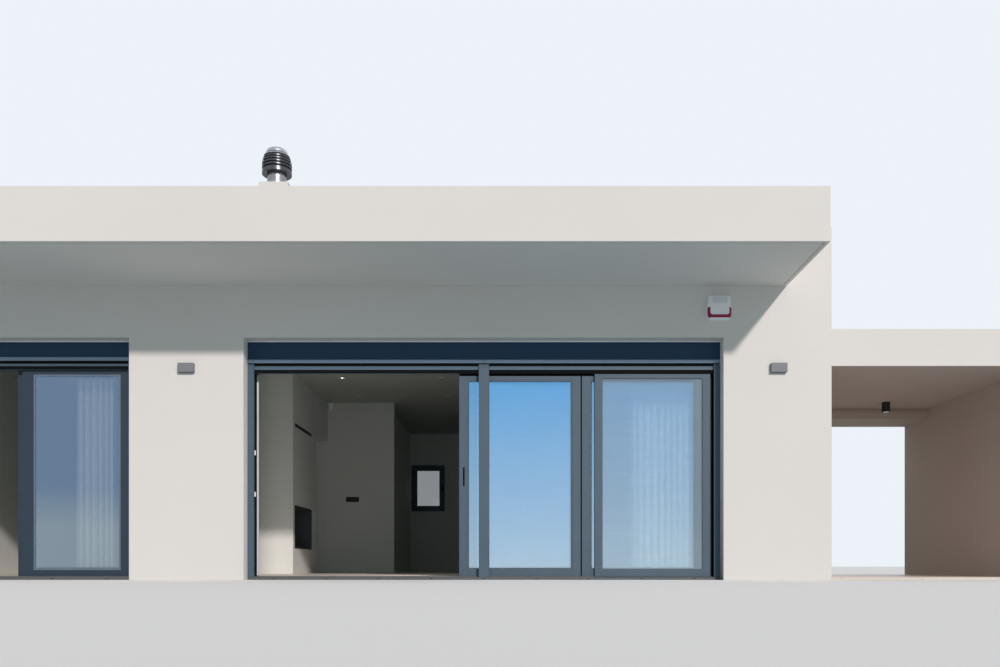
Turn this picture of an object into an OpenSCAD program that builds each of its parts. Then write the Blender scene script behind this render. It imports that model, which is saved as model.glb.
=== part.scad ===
// Single-storey beach house: a white plastered block with a deep canopy over two
// sliding door units, and a lower open veranda bay at its right-hand end.
// The front faces -Y, ground level is Z = 0. All sizes are in millimetres.

/* [Main block] */
// Depth of the main block from front face to back face
house_d = 9900; // [9600:10:11000]
// Thickness of the outer walls
wall_t = 350; // [345:5:420]
// Top of the finished floor above the ground
floor_t = 40; // [30:5:60]
// Height of the ceiling above the ground
ceiling_z = 3000; // [2900:10:3150]
// Thickness of the plaster ceiling
ceiling_t = 25; // [15:1:30]
// Space between the plaster ceiling and the roof slab
roof_void = 210; // [150:5:300]
// Thickness of the concrete roof slab
roof_t = 200; // [150:10:300]
// Height of the parapet above the roof slab
parapet_h = 451; // [350:1:700]
// Thickness of the parapet
parapet_t = 200; // [120:10:300]

/* [Canopy] */
// How far the canopy reaches out in front of the wall
canopy_d = 1372; // [900:2:1800]
// Distance from each end of the main block to the end of the canopy
canopy_inset = 494; // [100:2:900]
// Height of the white band along the edge of the canopy
fascia_h = 530; // [350:5:700]
// Thickness of the upstand on the edge of the canopy
fascia_t = 150; // [100:5:220]
// Distance from the edge of the canopy to the drip groove under it
drip_in = 40; // [30:5:80]
// Width and depth of the drip groove
drip_w = 14; // [8:1:20]

/* [Front wall] */
// Width of the wall to the left of the bedroom doors
left_pier_w = 1134; // [900:2:1300]
// Width of the bedroom door opening
bed_w = 2460; // [2300:10:2600]
// Width of the wall pier between the two door openings
pier_w = 1263; // [1100:1:1400]
// Width of the living-room door opening
living_w = 5280; // [5100:10:5400]
// Width of the wall to the right of the living-room doors
right_pier_w = 1193; // [1000:1:1500]
// Height of the top of both openings above the ground
opening_h = 2670; // [2620:5:2750]
// Depth of the plastered reveal in front of the shutter guides
reveal = 150; // [100:5:155]

/* [Sliding doors] */
// Thickness of a sash
sash_t = 40; // [36:1:44]
// Free space between two tracks
track_gap = 10; // [8:1:12]
// Height of the sill above the ground
sill_t = 28; // [20:1:36]
// Height of the running rail on the sill
rail_h = 12; // [10:1:14]
// Width of the running rail and of the guide fin
rail_w = 8; // [6:1:10]
// Free space beside a rail inside its groove
rail_side = 5; // [5:0.5:6]
// Free space under a sash
sash_lift = 5; // [5:0.5:7]
// Height of the head, from the top of a sash to the shutter box above it
head_h = 117; // [100:1:135]
// Height of the thin front lip of the living room's head
head_lip_h = 148; // [140:1:170]
// Thickness of that front lip
head_lip_t = 3; // [2:0.5:4]
// Distance from the shutter box to the raised trim on the lip
trim_drop = 71; // [60:1:80]
// Height of that trim in the living room
trim_h = 40; // [30:1:50]
// How far the trim stands in front of the sash frame
trim_t = 7; // [4:0.5:7]
// Width of a stile of a living-room sash
stile_w = 105; // [90:1:120]
// Height of the top rail of a living-room sash
top_rail = 116; // [90:1:130]
// Height of a sash bottom rail
bottom_rail = 93; // [80:1:120]
// How far two neighbouring sashes of the living room overlap when closed
overlap = 147; // [140:1:155]
// Thickness of a double-glazed pane
pane_t = 24; // [20:1:28]
// Width of the glazing bead round a pane
bead_w = 18; // [12:1:22]
// How far the glazing bead lies behind the face of its sash
bead_drop = 4; // [2:0.5:4]
// Distance between the two inner sashes
sash_air = 30; // [10:1:60]
// Distance between the two outer sashes
meeting_air = 16; // [8:1:20]
// Distance from the inner right sash to the frame beside it
inner_right_air = 13; // [5:1:20]
// Distance that the outer right sash stands open
outer_right_open = 117; // [60:1:200]
// How far the two bedroom sashes overlap when closed
bed_overlap = 102; // [80:1:120]
// Width of a stile of a bedroom sash
bed_stile_w = 140; // [110:1:150]
// Height of the top rail of a bedroom sash
bed_top_rail = 83; // [70:1:100]
// How much higher than in the living room the bedroom sashes and their head reach
bed_rise = 28; // [0:1:40]
// Height of the front lip of the bedroom's head
bed_lip_h = 130; // [120:1:150]
// Height of the raised trim on that lip
bed_trim_h = 26; // [20:1:40]
// Distance from the bedroom inner sash to the frame at its right
bed_inner_air = 83; // [10:1:300]
// Width of the fixed frame beside the sashes
jamb_w = 57; // [50:1:60]
// Width of the thin lip behind the sashes at each side
inner_lip_w = 24; // [20:1:30]
// Height of the same lip under the head
inner_lip_h = 15; // [10:1:18]
// Thickness of that lip
inner_lip_t = 5; // [3:0.5:5]
// Height of the handle plate
handle_h = 214; // [160:2:260]
// Width of the handle plate
handle_w = 18; // [14:1:24]
// Thickness of the handle plate
handle_t = 4; // [3:0.5:4.5]
// Height of the middle of the handle above the ground
handle_z = 1160; // [1000:5:1250]

/* [Shutters] */
// Depth of the shutter guides
guide_t = 35; // [30:1:40]
// Width of a shutter guide at the side of an opening
guide_w = 68; // [55:1:80]
// Width of the guide in the middle of the living-room doors
centre_guide_w = 115; // [90:1:130]
// Distance from the shutter box to the top of the guides
guide_drop = 56; // [50:1:65]
// Height of the shutter box
box_h = 208; // [190:2:240]
// Height of the end slat that hangs below the box
slat_h = 39; // [30:1:45]
// Thickness of the end slat
slat_t = 14; // [10:1:16]
// Free space round an end slat
slat_air = 3; // [2:0.5:3.5]
// Depth of the slot in a guide
guide_slot = 38; // [30:1:40]
// How far the front of the shutter box lies behind its flanges
box_recess = 6; // [3:1:10]
// Height of the upper flange of the shutter box
box_flange = 18; // [12:1:24]

/* [Insect screen] */
// Thickness of the screen frame
screen_t = 22; // [18:1:24]
// Width of the screen
screen_w = 1296; // [1200:2:1400]
// Width of the screen frame bars
screen_bar = 88; // [60:1:95]
// Distance from the screen to the frame at the right of the opening
screen_air = 45; // [30:1:100]
// Width of the rail and of the guide fin of the screen
screen_rail_w = 4; // [3:0.5:5]

/* [Back openings] */
// Width of a back window
window_w = 718; // [600:2:900]
// Height of the bottom of a back window above the ground
window_sill = 1337; // [900:1:1400]
// Height of the top of a back window and of the back door
window_head = 2334; // [2300:2:2450]
// Width of the back door
back_door_w = 950; // [850:5:1100]
// Width of the frame bars of a back window
window_bar = 108; // [60:1:120]
// Thickness of the back window frames
window_t = 70; // [60:1:90]
// Distance from the inner face of the back wall to its windows and door
window_in = 60; // [40:5:120]
// Width of the fixed part of the window and door frames
fixed_bar = 40; // [30:1:50]

/* [Rooms] */
// Distance from the bedroom doors to the wall between bedroom and living room
bed_wall_gap = 306; // [200:2:400]
// Thickness of the inner walls
inner_t = 150; // [120:5:180]
// Distance from the front face to the chimney breast
breast_y = 3290; // [3000:10:3500]
// Depth of the chimney breast from the bedroom wall
breast_w = 562; // [520:2:640]
// Length of the chimney breast
breast_l = 1570; // [1500:10:1700]
// Length of the passage behind the chimney breast
passage_l = 960; // [850:5:1050]
// Height of the passage
passage_h = 2325; // [2100:5:2350]
// Width of the service room at the back of the living room
service_w = 1152; // [1000:2:1300]
// How far the front wall of the service room reaches past its side wall
service_over = 136; // [100:2:200]
// Distance from that side wall to the kitchen window
kitchen_gap = 28; // [20:2:80]
// Distance from the front of the chimney breast to the fire opening
fire_side = 120; // [80:5:200]
// Width of the fire opening
fire_w = 1070; // [900:5:1150]
// Height of the fire opening
fire_h = 590; // [450:5:650]
// Height of the bottom of the fire opening
fire_z = 440; // [300:5:500]
// Depth of the fire opening
fire_d = 400; // [300:5:420]
// Width of the black frame round the fire opening
fire_bar = 22; // [15:1:40]
// How far that frame stands proud of the chimney breast
fire_bar_t = 8; // [5:1:12]
// Height of the bottom of the warm-air slot above the ground
vent_z = 2216; // [2100:2:2400]
// Height of the warm-air slot's frame
vent_h = 46; // [20:1:60]

/* [Chimney] */
// Width of the square stack
stack_w = 440; // [420:2:460]
// Distance from the left end of the house to the middle of the stack
stack_x = 4210; // [4150:5:4300]
// Height of the stack above the roof slab
stack_h = 2530; // [2000:2:2800]
// Diameter of the louvre rings and of the lid
cowl_d = 448; // [420:2:480]
// Diameter of the pipe below the louvres
flue_d = 290; // [250:2:300]
// Thickness of the sheet metal of the cowl
cowl_sheet = 4; // [3:0.5:6]
// Height of the bare pipe below the rings
neck_h = 185; // [120:1:220]
// Number of louvre rings
cowl_rings = 4; // [3:1:6]
// Distance from one louvre ring to the next
ring_pitch = 51; // [40:1:60]
// Height of a louvre ring
ring_h = 36; // [24:1:38]
// How far the top of a ring lies inside its lower edge
ring_slope = 26; // [16:1:32]
// Height of the lid's upright rim
lid_rim_h = 76; // [50:1:100]
// Height of the domed top above that rim
lid_h = 119; // [90:1:140]
// Width of the straps that hold the rings
strap_w = 30; // [16:1:40]

/* [Veranda] */
// Width of the veranda beyond the main block
veranda_w = 2542; // [2300:2:3000]
// Depth of the veranda
veranda_d = 3450; // [3200:10:3700]
// Height of the veranda ceiling
veranda_z = 2354; // [2300:2:2450]
// Height of the white band on the veranda roof
veranda_band = 410; // [350:5:480]
// Thickness of the veranda roof slab
veranda_roof_t = 200; // [150:10:250]
// Thickness of the veranda side wall
veranda_wall_t = 250; // [200:10:300]
// Width of the beam at the back of the veranda
beam_w = 750; // [600:10:900]
// Depth of that beam below the ceiling
beam_h = 141; // [100:1:200]

/* [Fittings] */
// Width of a wall lamp
lamp_w = 176; // [140:2:220]
// Height of a wall lamp
lamp_h = 100; // [80:1:120]
// Depth of a wall lamp
lamp_d = 45; // [40:1:70]
// Height of the middle of a wall lamp
lamp_z = 2331; // [2200:1:2450]
// How far the wall lamps sit to the right of the middle of their wall piers
lamp_shift = 8; // [0:1:40]
// Width of the alarm sounder
sounder_w = 262; // [220:2:290]
// Height of the alarm sounder
sounder_h = 268; // [220:2:300]
// Depth of the alarm sounder
sounder_d = 90; // [60:1:110]
// Height of the bottom of the alarm sounder above the ground
sounder_z = 2845; // [2780:1:2900]
// Distance from the left edge of the sounder to the right edge of the living-room doors
sounder_in = 190; // [100:2:300]
// Width of the sloping edge round the front of the sounder
sounder_bevel = 24; // [16:1:30]
// Height of the bottom of the lens above the bottom of the sounder
lens_low = 20; // [10:1:30]
// Width of the lens at the sides
lens_w = 28; // [26:1:36]
// Height of the lens at the bottom
lens_h = 34; // [26:1:40]
// Height of the top of the lens above the bottom of the sounder
lens_top = 135; // [110:1:160]
// Distance from the main block to the middle of the veranda spot lamp
spot_x = 1510; // [1200:5:1800]
// Distance from the front to the middle of the veranda spot lamp
spot_y = 2220; // [1800:5:2400]
// Diameter of the veranda spot lamp
spot_d = 108; // [90:1:130]
// Length of the veranda spot lamp
spot_l = 132; // [110:1:160]
// Diameter of a recessed ceiling lamp
downlight_d = 84; // [70:1:100]
// Distance from the chimney breast to the first column of ceiling lamps
downlight_in = 633; // [500:1:800]
// Distance from the front to the first row of ceiling lamps
downlight_y = 2250; // [1800:10:2500]
// Distance between ceiling lamps
downlight_pitch = 1500; // [1400:10:1540]
// Height of the curtain rails
curtain_rail_h = 12; // [10:1:16]
// Width of the curtain rails
curtain_rail_w = 60; // [50:1:80]
// Distance from the front wall to the curtain rails
curtain_rail_in = 70; // [50:1:100]
// Thickness of a gathered curtain
curtain_t = 80; // [60:2:90]
// Length of the living-room curtain along its rail
curtain_w = 690; // [500:5:800]
// Distance from the living-room curtain to the right edge of its doors
curtain_in = 280; // [100:5:500]
// Length of the bedroom curtain along its rail
bed_curtain_w = 500; // [400:5:700]
// Distance from the bedroom curtain to the right edge of its doors
bed_curtain_in = 285; // [100:5:500]
// Distance from the floor to the hem of a curtain
hem_gap = 12; // [10:1:30]

/* [Hidden] */
$fn = 48;
slip = 0.3;

bed_x = left_pier_w;
living_x = bed_x + bed_w + pier_w;
main_w = living_x + living_w + right_pier_w;
total_w = main_w + veranda_w;
soffit_z = ceiling_z + ceiling_t + roof_void;
slab_top = soffit_z + roof_t;
inner_d = house_d - 2 * wall_t;
room_h = ceiling_z - floor_t;

// Door unit, counted from the front face inwards
end_air = 5;
fin_h = 20;
frame_y = reveal + guide_t;
screen_y = frame_y + end_air;
outer_y = screen_y + screen_t + track_gap;
inner_y = outer_y + sash_t + track_gap;
frame_back = inner_y + sash_t + track_gap;
channel_x = living_x + jamb_w;
channel_w = living_w - 2 * jamb_w;
sash_w = (channel_w + 2 * overlap) / 4;
bed_channel_x = bed_x + jamb_w;
bed_channel_w = bed_w - 2 * jamb_w;
bed_sash_w = (bed_channel_w + bed_overlap) / 2;
box_z = opening_h - box_h;
sash_top = box_z - head_h;
sash_z = sill_t + sash_lift;
sash_h = sash_top - sash_z;
bed_sash_h = sash_h + bed_rise;
outer_right_x = channel_x + channel_w - sash_w - outer_right_open;
outer_left_x = outer_right_x - sash_w - meeting_air;
inner_right_x = channel_x + channel_w - sash_w - inner_right_air;
inner_left_x = inner_right_x - sash_w - sash_air;
bed_outer_x = bed_channel_x + bed_channel_w - bed_sash_w - end_air;
bed_inner_x = bed_channel_x + bed_channel_w - bed_sash_w - bed_inner_air;
screen_x = channel_x + channel_w - screen_air - screen_w;
centre_x = living_x + living_w / 2;
tracks = [
    [screen_y + screen_t / 2, screen_rail_w],
    [outer_y + sash_t / 2, rail_w],
    [inner_y + sash_t / 2, rail_w]
];
// Each door unit: place, width, rise of its head, and height of the lip and of the trim
units = [
    [bed_x, bed_w, bed_rise, bed_lip_h, bed_trim_h],
    [living_x, living_w, 0, head_lip_h, trim_h]
];

// Bays between the shutter guides, and the same bays up to the middle of a guide
half_guide = centre_guide_w / 2;
bays = [
    [bed_x + guide_w, bed_x + bed_w - guide_w],
    [living_x + guide_w, centre_x - half_guide],
    [centre_x + half_guide, living_x + living_w - guide_w]
];
slat_bays = [
    [bed_x, bed_x + bed_w, bed_rise], [living_x, centre_x, 0],
    [centre_x, living_x + living_w, 0]
];

// Rooms
bed_wall_x = bed_x + bed_w + bed_wall_gap;
breast_x = bed_wall_x + inner_t;
breast_face = breast_x + breast_w;
passage_y = breast_y + breast_l;
service_y = passage_y + passage_l;
service_face = breast_face + service_w;
service_side = service_face - service_over;

// Back wall: one window a room, and in the living room one each side of the door
back_door_x = living_x + (living_w - back_door_w) / 2;
window_xs = [
    (wall_t + bed_wall_x - window_w) / 2,
    (breast_x + service_side - inner_t - window_w) / 2,
    service_side + kitchen_gap,
    (back_door_x + back_door_w + main_w - wall_t - window_w) / 2
];
back_gaps = [
    [window_xs[0], window_w], [window_xs[1], window_w], [window_xs[2], window_w],
    [back_door_x, back_door_w], [window_xs[3], window_w]
];
window_y = house_d - wall_t + window_in;

// Lamps
wall_lamp_xs = [
    for (x = [bed_x / 2, bed_x + bed_w + pier_w / 2, (living_x + living_w + main_w) / 2])
        x + lamp_shift
];
downlight_x = breast_face + downlight_in;
downlight_xy = [
    for (row = [0:2], column = [0:3])
        [downlight_x + column * downlight_pitch, downlight_y + row * downlight_pitch],
    [downlight_x + downlight_pitch / 2, downlight_y + 2 * downlight_pitch]
];

// Fire opening, and the chimney right over the middle of it
fire_y = breast_y + fire_side;
stack_y = fire_y + fire_w / 2;

// Sounder
sounder_x = living_x + living_w - sounder_in;

// Puts the origin at the middle of the plan, on the ground
module place() {
    translate([-total_w / 2, -(house_d - canopy_d) / 2, 0]) children();
}

// A box given by its lowest corner and its size
module block(corner, size) {
    translate(corner) cube(size);
}

// A bar along X whose section is drawn as depth and height
module bar_x(x, length) {
    translate([x, 0, 0]) rotate([90, 0, 90]) linear_extrude(length) children();
}

module floor_slabs() {
    color("silver") place() {
        block([wall_t, wall_t, 0], [main_w - 2 * wall_t, inner_d, floor_t]);
        block([main_w, 0, 0], [veranda_w - veranda_wall_t, veranda_d, floor_t - 10]);
    }
}

module front_wall_piers() {
    color("white") place() {
        block([0, 0, 0], [bed_x, wall_t, opening_h]);
        block([bed_x + bed_w, 0, 0], [pier_w, wall_t, opening_h]);
        block([living_x + living_w, 0, 0],
            [right_pier_w, wall_t, opening_h]);
    }
}

module front_wall_head() {
    color("white") place()
        block([0, 0, opening_h], [main_w, wall_t, soffit_z - opening_h]);
}

module side_walls() {
    color("white") place()
        for (x = [0, main_w - wall_t])
            block([x, wall_t, 0], [wall_t, inner_d, soffit_z]);
}

// The stretches of the back wall that lie between its openings, over a height
module back_stretches(gaps, z, h) {
    starts = [0, for (g = gaps) g[0] + g[1]];
    ends = [for (g = gaps) g[0], main_w];
    for (i = [0:len(gaps)])
        block([starts[i], house_d - wall_t, z], [ends[i] - starts[i], wall_t, h]);
}

module back_wall_base() {
    color("white") place()
        back_stretches([[back_door_x, back_door_w]], 0, window_sill);
}

module back_wall_piers() {
    color("white") place()
        back_stretches(back_gaps, window_sill, window_head - window_sill);
}

module back_wall_head() {
    color("white") place()
        block([0, house_d - wall_t, window_head], [main_w, wall_t, soffit_z - window_head]);
}

// Plaster ceiling hung between the outer walls, with round holes for the lamps
module ceiling() {
    color("whitesmoke") place() difference() {
        block([wall_t, wall_t, ceiling_z], [main_w - 2 * wall_t, inner_d, ceiling_t]);
        for (p = downlight_xy)
            translate([p[0], p[1], ceiling_z - 1])
                cylinder(d = downlight_d - 6, h = ceiling_t + 2);
    }
}

// The slab covers the block and reaches out over the front as the canopy, which has
// a drip groove under its three free edges
module roof_slab() {
    w = main_w - 2 * canopy_inset;
    groove_l = canopy_d - 2 * drip_in;
    color("white") place() difference() {
        union() {
            block([0, 0, soffit_z], [main_w, house_d, roof_t]);
            block([canopy_inset, -canopy_d, soffit_z], [w, canopy_d, roof_t]);
        }
        translate([canopy_inset + drip_in, drip_in - canopy_d, soffit_z - 1]) {
            cube([w - 2 * drip_in, drip_w, drip_w + 1]);
            for (x = [0, w - 2 * drip_in - drip_w])
                translate([x, 0, 0]) cube([drip_w, groove_l, drip_w + 1]);
        }
    }
}

// Low walls round the canopy and round the veranda roof, open towards the house
module roof_upstands() {
    w = main_w - 2 * canopy_inset;
    h = fascia_h - roof_t;
    low_h = veranda_band - veranda_roof_t;
    low_z = veranda_z + veranda_roof_t;
    color("white") place() {
        difference() {
            block([canopy_inset, -canopy_d, slab_top], [w, canopy_d, h]);
            block([canopy_inset + fascia_t, fascia_t - canopy_d, slab_top - 1],
                [w - 2 * fascia_t, canopy_d, h + 2]);
        }
        difference() {
            block([main_w, 0, low_z], [veranda_w, veranda_d, low_h]);
            block([main_w - 1, fascia_t, low_z - 1],
                [veranda_w - fascia_t + 1, veranda_d - 2 * fascia_t, low_h + 2]);
        }
    }
}

module roof_parapet() {
    color("white") place() difference() {
        block([0, 0, slab_top], [main_w, house_d, parapet_h]);
        block([parapet_t, parapet_t, slab_top - 1],
            [main_w - 2 * parapet_t, house_d - 2 * parapet_t, parapet_h + 2]);
    }
}

// Square stack with the round flue that comes up through it
module chimney_stack() {
    color("white") place() translate([stack_x, stack_y, slab_top]) difference() {
        translate([-stack_w / 2, -stack_w / 2, 0]) cube([stack_w, stack_w, stack_h]);
        translate([0, 0, -1]) cylinder(d = flue_d - 40, h = stack_h + 2);
    }
}

// One louvre ring: a sheet metal cone with an upright lip at its lower edge
module cowl_ring() {
    r = cowl_d / 2;
    lip = ring_h / 6;
    rotate_extrude() polygon([
        [r - cowl_sheet, 0], [r, 0], [r, lip], [r - ring_slope, ring_h],
        [r - ring_slope - cowl_sheet, ring_h], [r - cowl_sheet, lip]
    ]);
}

// Outline of the lid's top from its axis down to its rim
function lid_curve(r, h) =
    [for (a = [90:-9:0]) [r * pow(cos(a), 1.4), lid_rim_h + h * pow(sin(a), 1.4)]];

// Lid: an upright rim under a low dome of sheet metal
module cowl_lid() {
    r = cowl_d / 2;
    inner = lid_curve(r - cowl_sheet, lid_h - cowl_sheet);
    rotate_extrude() polygon(concat(
        lid_curve(r, lid_h), [[r, 0], [r - cowl_sheet, 0]],
        [for (i = [len(inner) - 1:-1:0]) inner[i]]
    ));
}

// Stainless cowl: an open pipe with a foot collar, and four bracket plates with outer
// straps that carry the sloping louvre rings and the lid
module chimney_cowl() {
    pipe = flue_d / 2;
    r = cowl_d / 2;
    rings_h = cowl_rings * ring_pitch;
    hold_h = rings_h + lid_rim_h / 2;
    color("lightgray") place()
        translate([stack_x, stack_y, slab_top + stack_h]) union() {
            rotate_extrude() translate([pipe - cowl_sheet, 0])
                square([cowl_sheet, neck_h + rings_h / 2]);
            rotate_extrude() translate([pipe - cowl_sheet / 2, 0])
                square([cowl_sheet * 1.5, 7 * cowl_sheet]);
            for (i = [0:cowl_rings - 1]) translate([0, 0, neck_h + i * ring_pitch]) cowl_ring();
            for (a = [45:90:315]) rotate(a) translate([0, 0, neck_h]) {
                translate([pipe - cowl_sheet / 2, -cowl_sheet / 2, 0])
                    cube([r - pipe, cowl_sheet, hold_h]);
                translate([r - cowl_sheet, -strap_w / 2, 0])
                    cube([cowl_sheet * 1.5, strap_w, hold_h]);
            }
            translate([0, 0, neck_h + rings_h]) cowl_lid();
        }
}

module bedroom_wall() {
    color("white") place() difference() {
        block([bed_wall_x, wall_t, floor_t], [inner_t, inner_d, room_h]);
        block([bed_wall_x - 1, passage_y, floor_t - 1],
            [inner_t + 2, passage_l, passage_h - floor_t + 1]);
    }
}

// Thick wall over the passage behind the chimney breast
module passage_head() {
    color("white") place()
        block([breast_x, passage_y, passage_h], [breast_w, passage_l, ceiling_z - passage_h]);
}

module chimney_breast() {
    color("white") place() difference() {
        block([breast_x, breast_y, floor_t], [breast_w, breast_l, room_h]);
        translate([breast_face - fire_d, fire_y, fire_z])
            cube([fire_d + 1, fire_w, fire_h]);
    }
}

// Black steel frame round the fire, and the frame of the warm-air slot above it
module fireplace_frame() {
    color("black") place() translate([breast_face, fire_y, 0]) {
        difference() {
            translate([0, -fire_bar, fire_z - fire_bar])
                cube([fire_bar_t, fire_w + 2 * fire_bar, fire_h + 2 * fire_bar]);
            translate([-1, 0, fire_z]) cube([fire_bar_t + 2, fire_w, fire_h]);
        }
        difference() {
            translate([0, 0, vent_z]) cube([fire_bar_t, fire_w, vent_h]);
            translate([2, vent_h / 4, vent_z + vent_h / 4])
                cube([fire_bar_t, fire_w - vent_h / 2, vent_h / 2]);
        }
    }
}

module service_wall() {
    color("white") place() union() {
        block([breast_x, service_y, floor_t],
            [breast_w + service_w, inner_t, room_h]);
        block([service_side - inner_t, service_y, floor_t],
            [inner_t, house_d - wall_t - service_y, room_h]);
    }
}

// Sill with one running rail for each sash track, and a thinner one for the screen
module door_sills() {
    color("slategray") place() for (u = units) union() {
        block([u[0], reveal, 0], [u[1], wall_t - reveal, sill_t]);
        for (t = tracks)
            block([u[0] + jamb_w, t[0] - t[1] / 2, sill_t - 1],
                [u[1] - 2 * jamb_w, t[1], rail_h + 1]);
    }
}

// Jambs with a thin lip behind the sashes
module door_jambs() {
    color("slategray") place() for (u = units, side = [0, 1]) {
        h = sash_top + u[2] + end_air - sill_t;
        x = side == 0 ? u[0] : u[0] + u[1] - jamb_w;
        lip_x = side == 0 ? x : x - inner_lip_w;
        union() {
            block([x, frame_y, sill_t], [jamb_w, frame_back - frame_y, h]);
            block([lip_x, frame_back - inner_lip_t, sill_t],
                [jamb_w + inner_lip_w, inner_lip_t, h]);
        }
    }
}

// Head with a thin front lip that hides the tops of the sashes, a raised trim on that
// lip between the shutter guides, a lip at the back and a guide fin for each track.
// The fins and the back lip run between the jambs
module door_heads() {
    front_y = frame_y - trim_t;
    lip_y = frame_y - head_lip_t;
    color("slategray") place() for (u = units) union() {
        top_z = box_z + u[2];
        under_z = sash_top + u[2] + end_air;
        lip_z = top_z - u[3];
        trim_z = top_z - trim_drop;
        block([u[0], frame_y, under_z], [u[1], frame_back - frame_y, top_z - under_z]);
        for (b = bays) if (b[0] > u[0] && b[1] < u[0] + u[1])
            bar_x(b[0], b[1] - b[0]) polygon([
                [frame_y + 1, top_z - 1], [frame_y + 1, under_z], [frame_y, under_z],
                [frame_y, lip_z], [lip_y, lip_z], [lip_y, trim_z - u[4]],
                [front_y, trim_z - u[4]], [front_y, trim_z], [lip_y, trim_z], [lip_y, top_z - 1]
            ]);
        bar_x(u[0] + jamb_w, u[1] - 2 * jamb_w) for (t = tracks)
            translate([t[0] - t[1] / 2, under_z - fin_h]) square([t[1], fin_h + 1]);
        block([u[0] + jamb_w + inner_lip_w, frame_back - inner_lip_t, under_z - inner_lip_h],
            [u[1] - 2 * jamb_w - 2 * inner_lip_w, inner_lip_t, inner_lip_h + 1]);
    }
}

// Box with its front plate set back between an upper and a lower flange
module shutter_boxes() {
    low = box_flange * 2 / 3;
    plate_y = reveal + box_recess;
    color("darkslateblue") place() for (u = units) let (z = box_z + u[2])
        bar_x(u[0], u[1]) polygon([
            [wall_t, z], [wall_t, opening_h], [reveal, opening_h],
            [reveal, opening_h - box_flange], [plate_y, opening_h - box_flange],
            [plate_y, z + low], [reveal, z + low], [reveal, z]
        ]);
}

// Upright guide with a slot on each side where a shutter runs
module shutter_guide(x, w, rise, sides) {
    slot_w = slat_t + 2 * slat_air;
    h = box_z + rise - guide_drop - sill_t;
    difference() {
        block([x, reveal, sill_t], [w, guide_t, h]);
        for (side = sides)
            block([side == "left" ? x - 1 : x + w - guide_slot,
                reveal + (guide_t - slot_w) / 2, sill_t - 1],
                [guide_slot + 1, slot_w, h + 2]);
    }
}

module shutter_guides() {
    color("slategray") place() {
        for (u = units) {
            shutter_guide(u[0], guide_w, u[2], ["right"]);
            shutter_guide(u[0] + u[1] - guide_w, guide_w, u[2], ["left"]);
        }
        shutter_guide(centre_x - half_guide, centre_guide_w, 0, ["left", "right"]);
    }
}

// End slats of the rolled-up shutters, which hang below the boxes in front of the guides
module shutter_end_slats() {
    edge = slat_t / 4;
    color("lightslategray") place() for (b = slat_bays)
        bar_x(b[0] + slat_air, b[1] - b[0] - 2 * slat_air)
            translate([reveal + (guide_t - slat_t) / 2, box_z + b[2] - slat_h]) polygon([
                [edge, 0], [slat_t - edge, 0], [slat_t, edge], [slat_t, slat_h],
                [0, slat_h], [0, edge]
            ]);
}

// Sash frame with a glazing bead set back on both faces, and grooves that ride on the
// sill rail and take the head fin
module sash_frame(x, y, w, h = sash_h, stile = stile_w, top = top_rail) {
    groove = rail_w + 2 * rail_side;
    pane_w = w - 2 * stile;
    pane_h = h - bottom_rail - top;
    color("slategray") place() translate([x, y, sash_z]) difference() {
        cube([w, sash_t, h]);
        translate([stile, -1, bottom_rail]) cube([pane_w, sash_t + 2, pane_h]);
        for (face = [-1, sash_t - bead_drop])
            translate([stile - bead_w, face, bottom_rail - bead_w])
                cube([pane_w + 2 * bead_w, bead_drop + 1, pane_h + 2 * bead_w]);
        translate([-1, (sash_t - groove) / 2, -1])
            cube([w + 2, groove, rail_h - sash_lift + slip + 1]);
        translate([-1, (sash_t - groove) / 2, h - fin_h - 4])
            cube([w + 2, groove, fin_h + 5]);
    }
}

module sash_glass(x, y, w, h = sash_h, stile = stile_w, top = top_rail) {
    color("lightskyblue") place()
        translate([x + stile, y + (sash_t - pane_t) / 2, sash_z + bottom_rail])
            cube([w - 2 * stile, pane_t, h - bottom_rail - top]);
}

module bed_frame(x, y) { sash_frame(x, y, bed_sash_w, bed_sash_h, bed_stile_w, bed_top_rail); }
module bed_glass(x, y) { sash_glass(x, y, bed_sash_w, bed_sash_h, bed_stile_w, bed_top_rail); }

module outer_left_sash() { sash_frame(outer_left_x, outer_y, sash_w); }
module outer_left_glass() { sash_glass(outer_left_x, outer_y, sash_w); }
module inner_left_sash() { sash_frame(inner_left_x, inner_y, sash_w); }
module inner_left_glass() { sash_glass(inner_left_x, inner_y, sash_w); }
module inner_right_sash() { sash_frame(inner_right_x, inner_y, sash_w); }
module inner_right_glass() { sash_glass(inner_right_x, inner_y, sash_w); }
module outer_right_sash() { sash_frame(outer_right_x, outer_y, sash_w); }
module outer_right_glass() { sash_glass(outer_right_x, outer_y, sash_w); }
module bedroom_outer_sash() { bed_frame(bed_outer_x, outer_y); }
module bedroom_outer_glass() { bed_glass(bed_outer_x, outer_y); }
module bedroom_inner_sash() { bed_frame(bed_inner_x, inner_y); }
module bedroom_inner_glass() { bed_glass(bed_inner_x, inner_y); }

module stadium(w, h) {
    square([w, h - w], center = true);
    for (side = [-1, 1]) translate([0, side * (h - w) / 2]) circle(d = w);
}

// Flat pull with round ends and a finger recess, on the front of the stile and thin
// enough to pass behind the screen
module outer_left_handle() {
    color("black") place()
        translate([outer_left_x + stile_w / 2, outer_y, handle_z]) rotate([90, 0, 0])
            difference() {
                linear_extrude(handle_t) stadium(handle_w, handle_h);
                translate([0, 0, handle_t / 2]) linear_extrude(handle_t)
                    stadium(handle_w / 2, handle_h * 0.8);
            }
}

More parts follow.
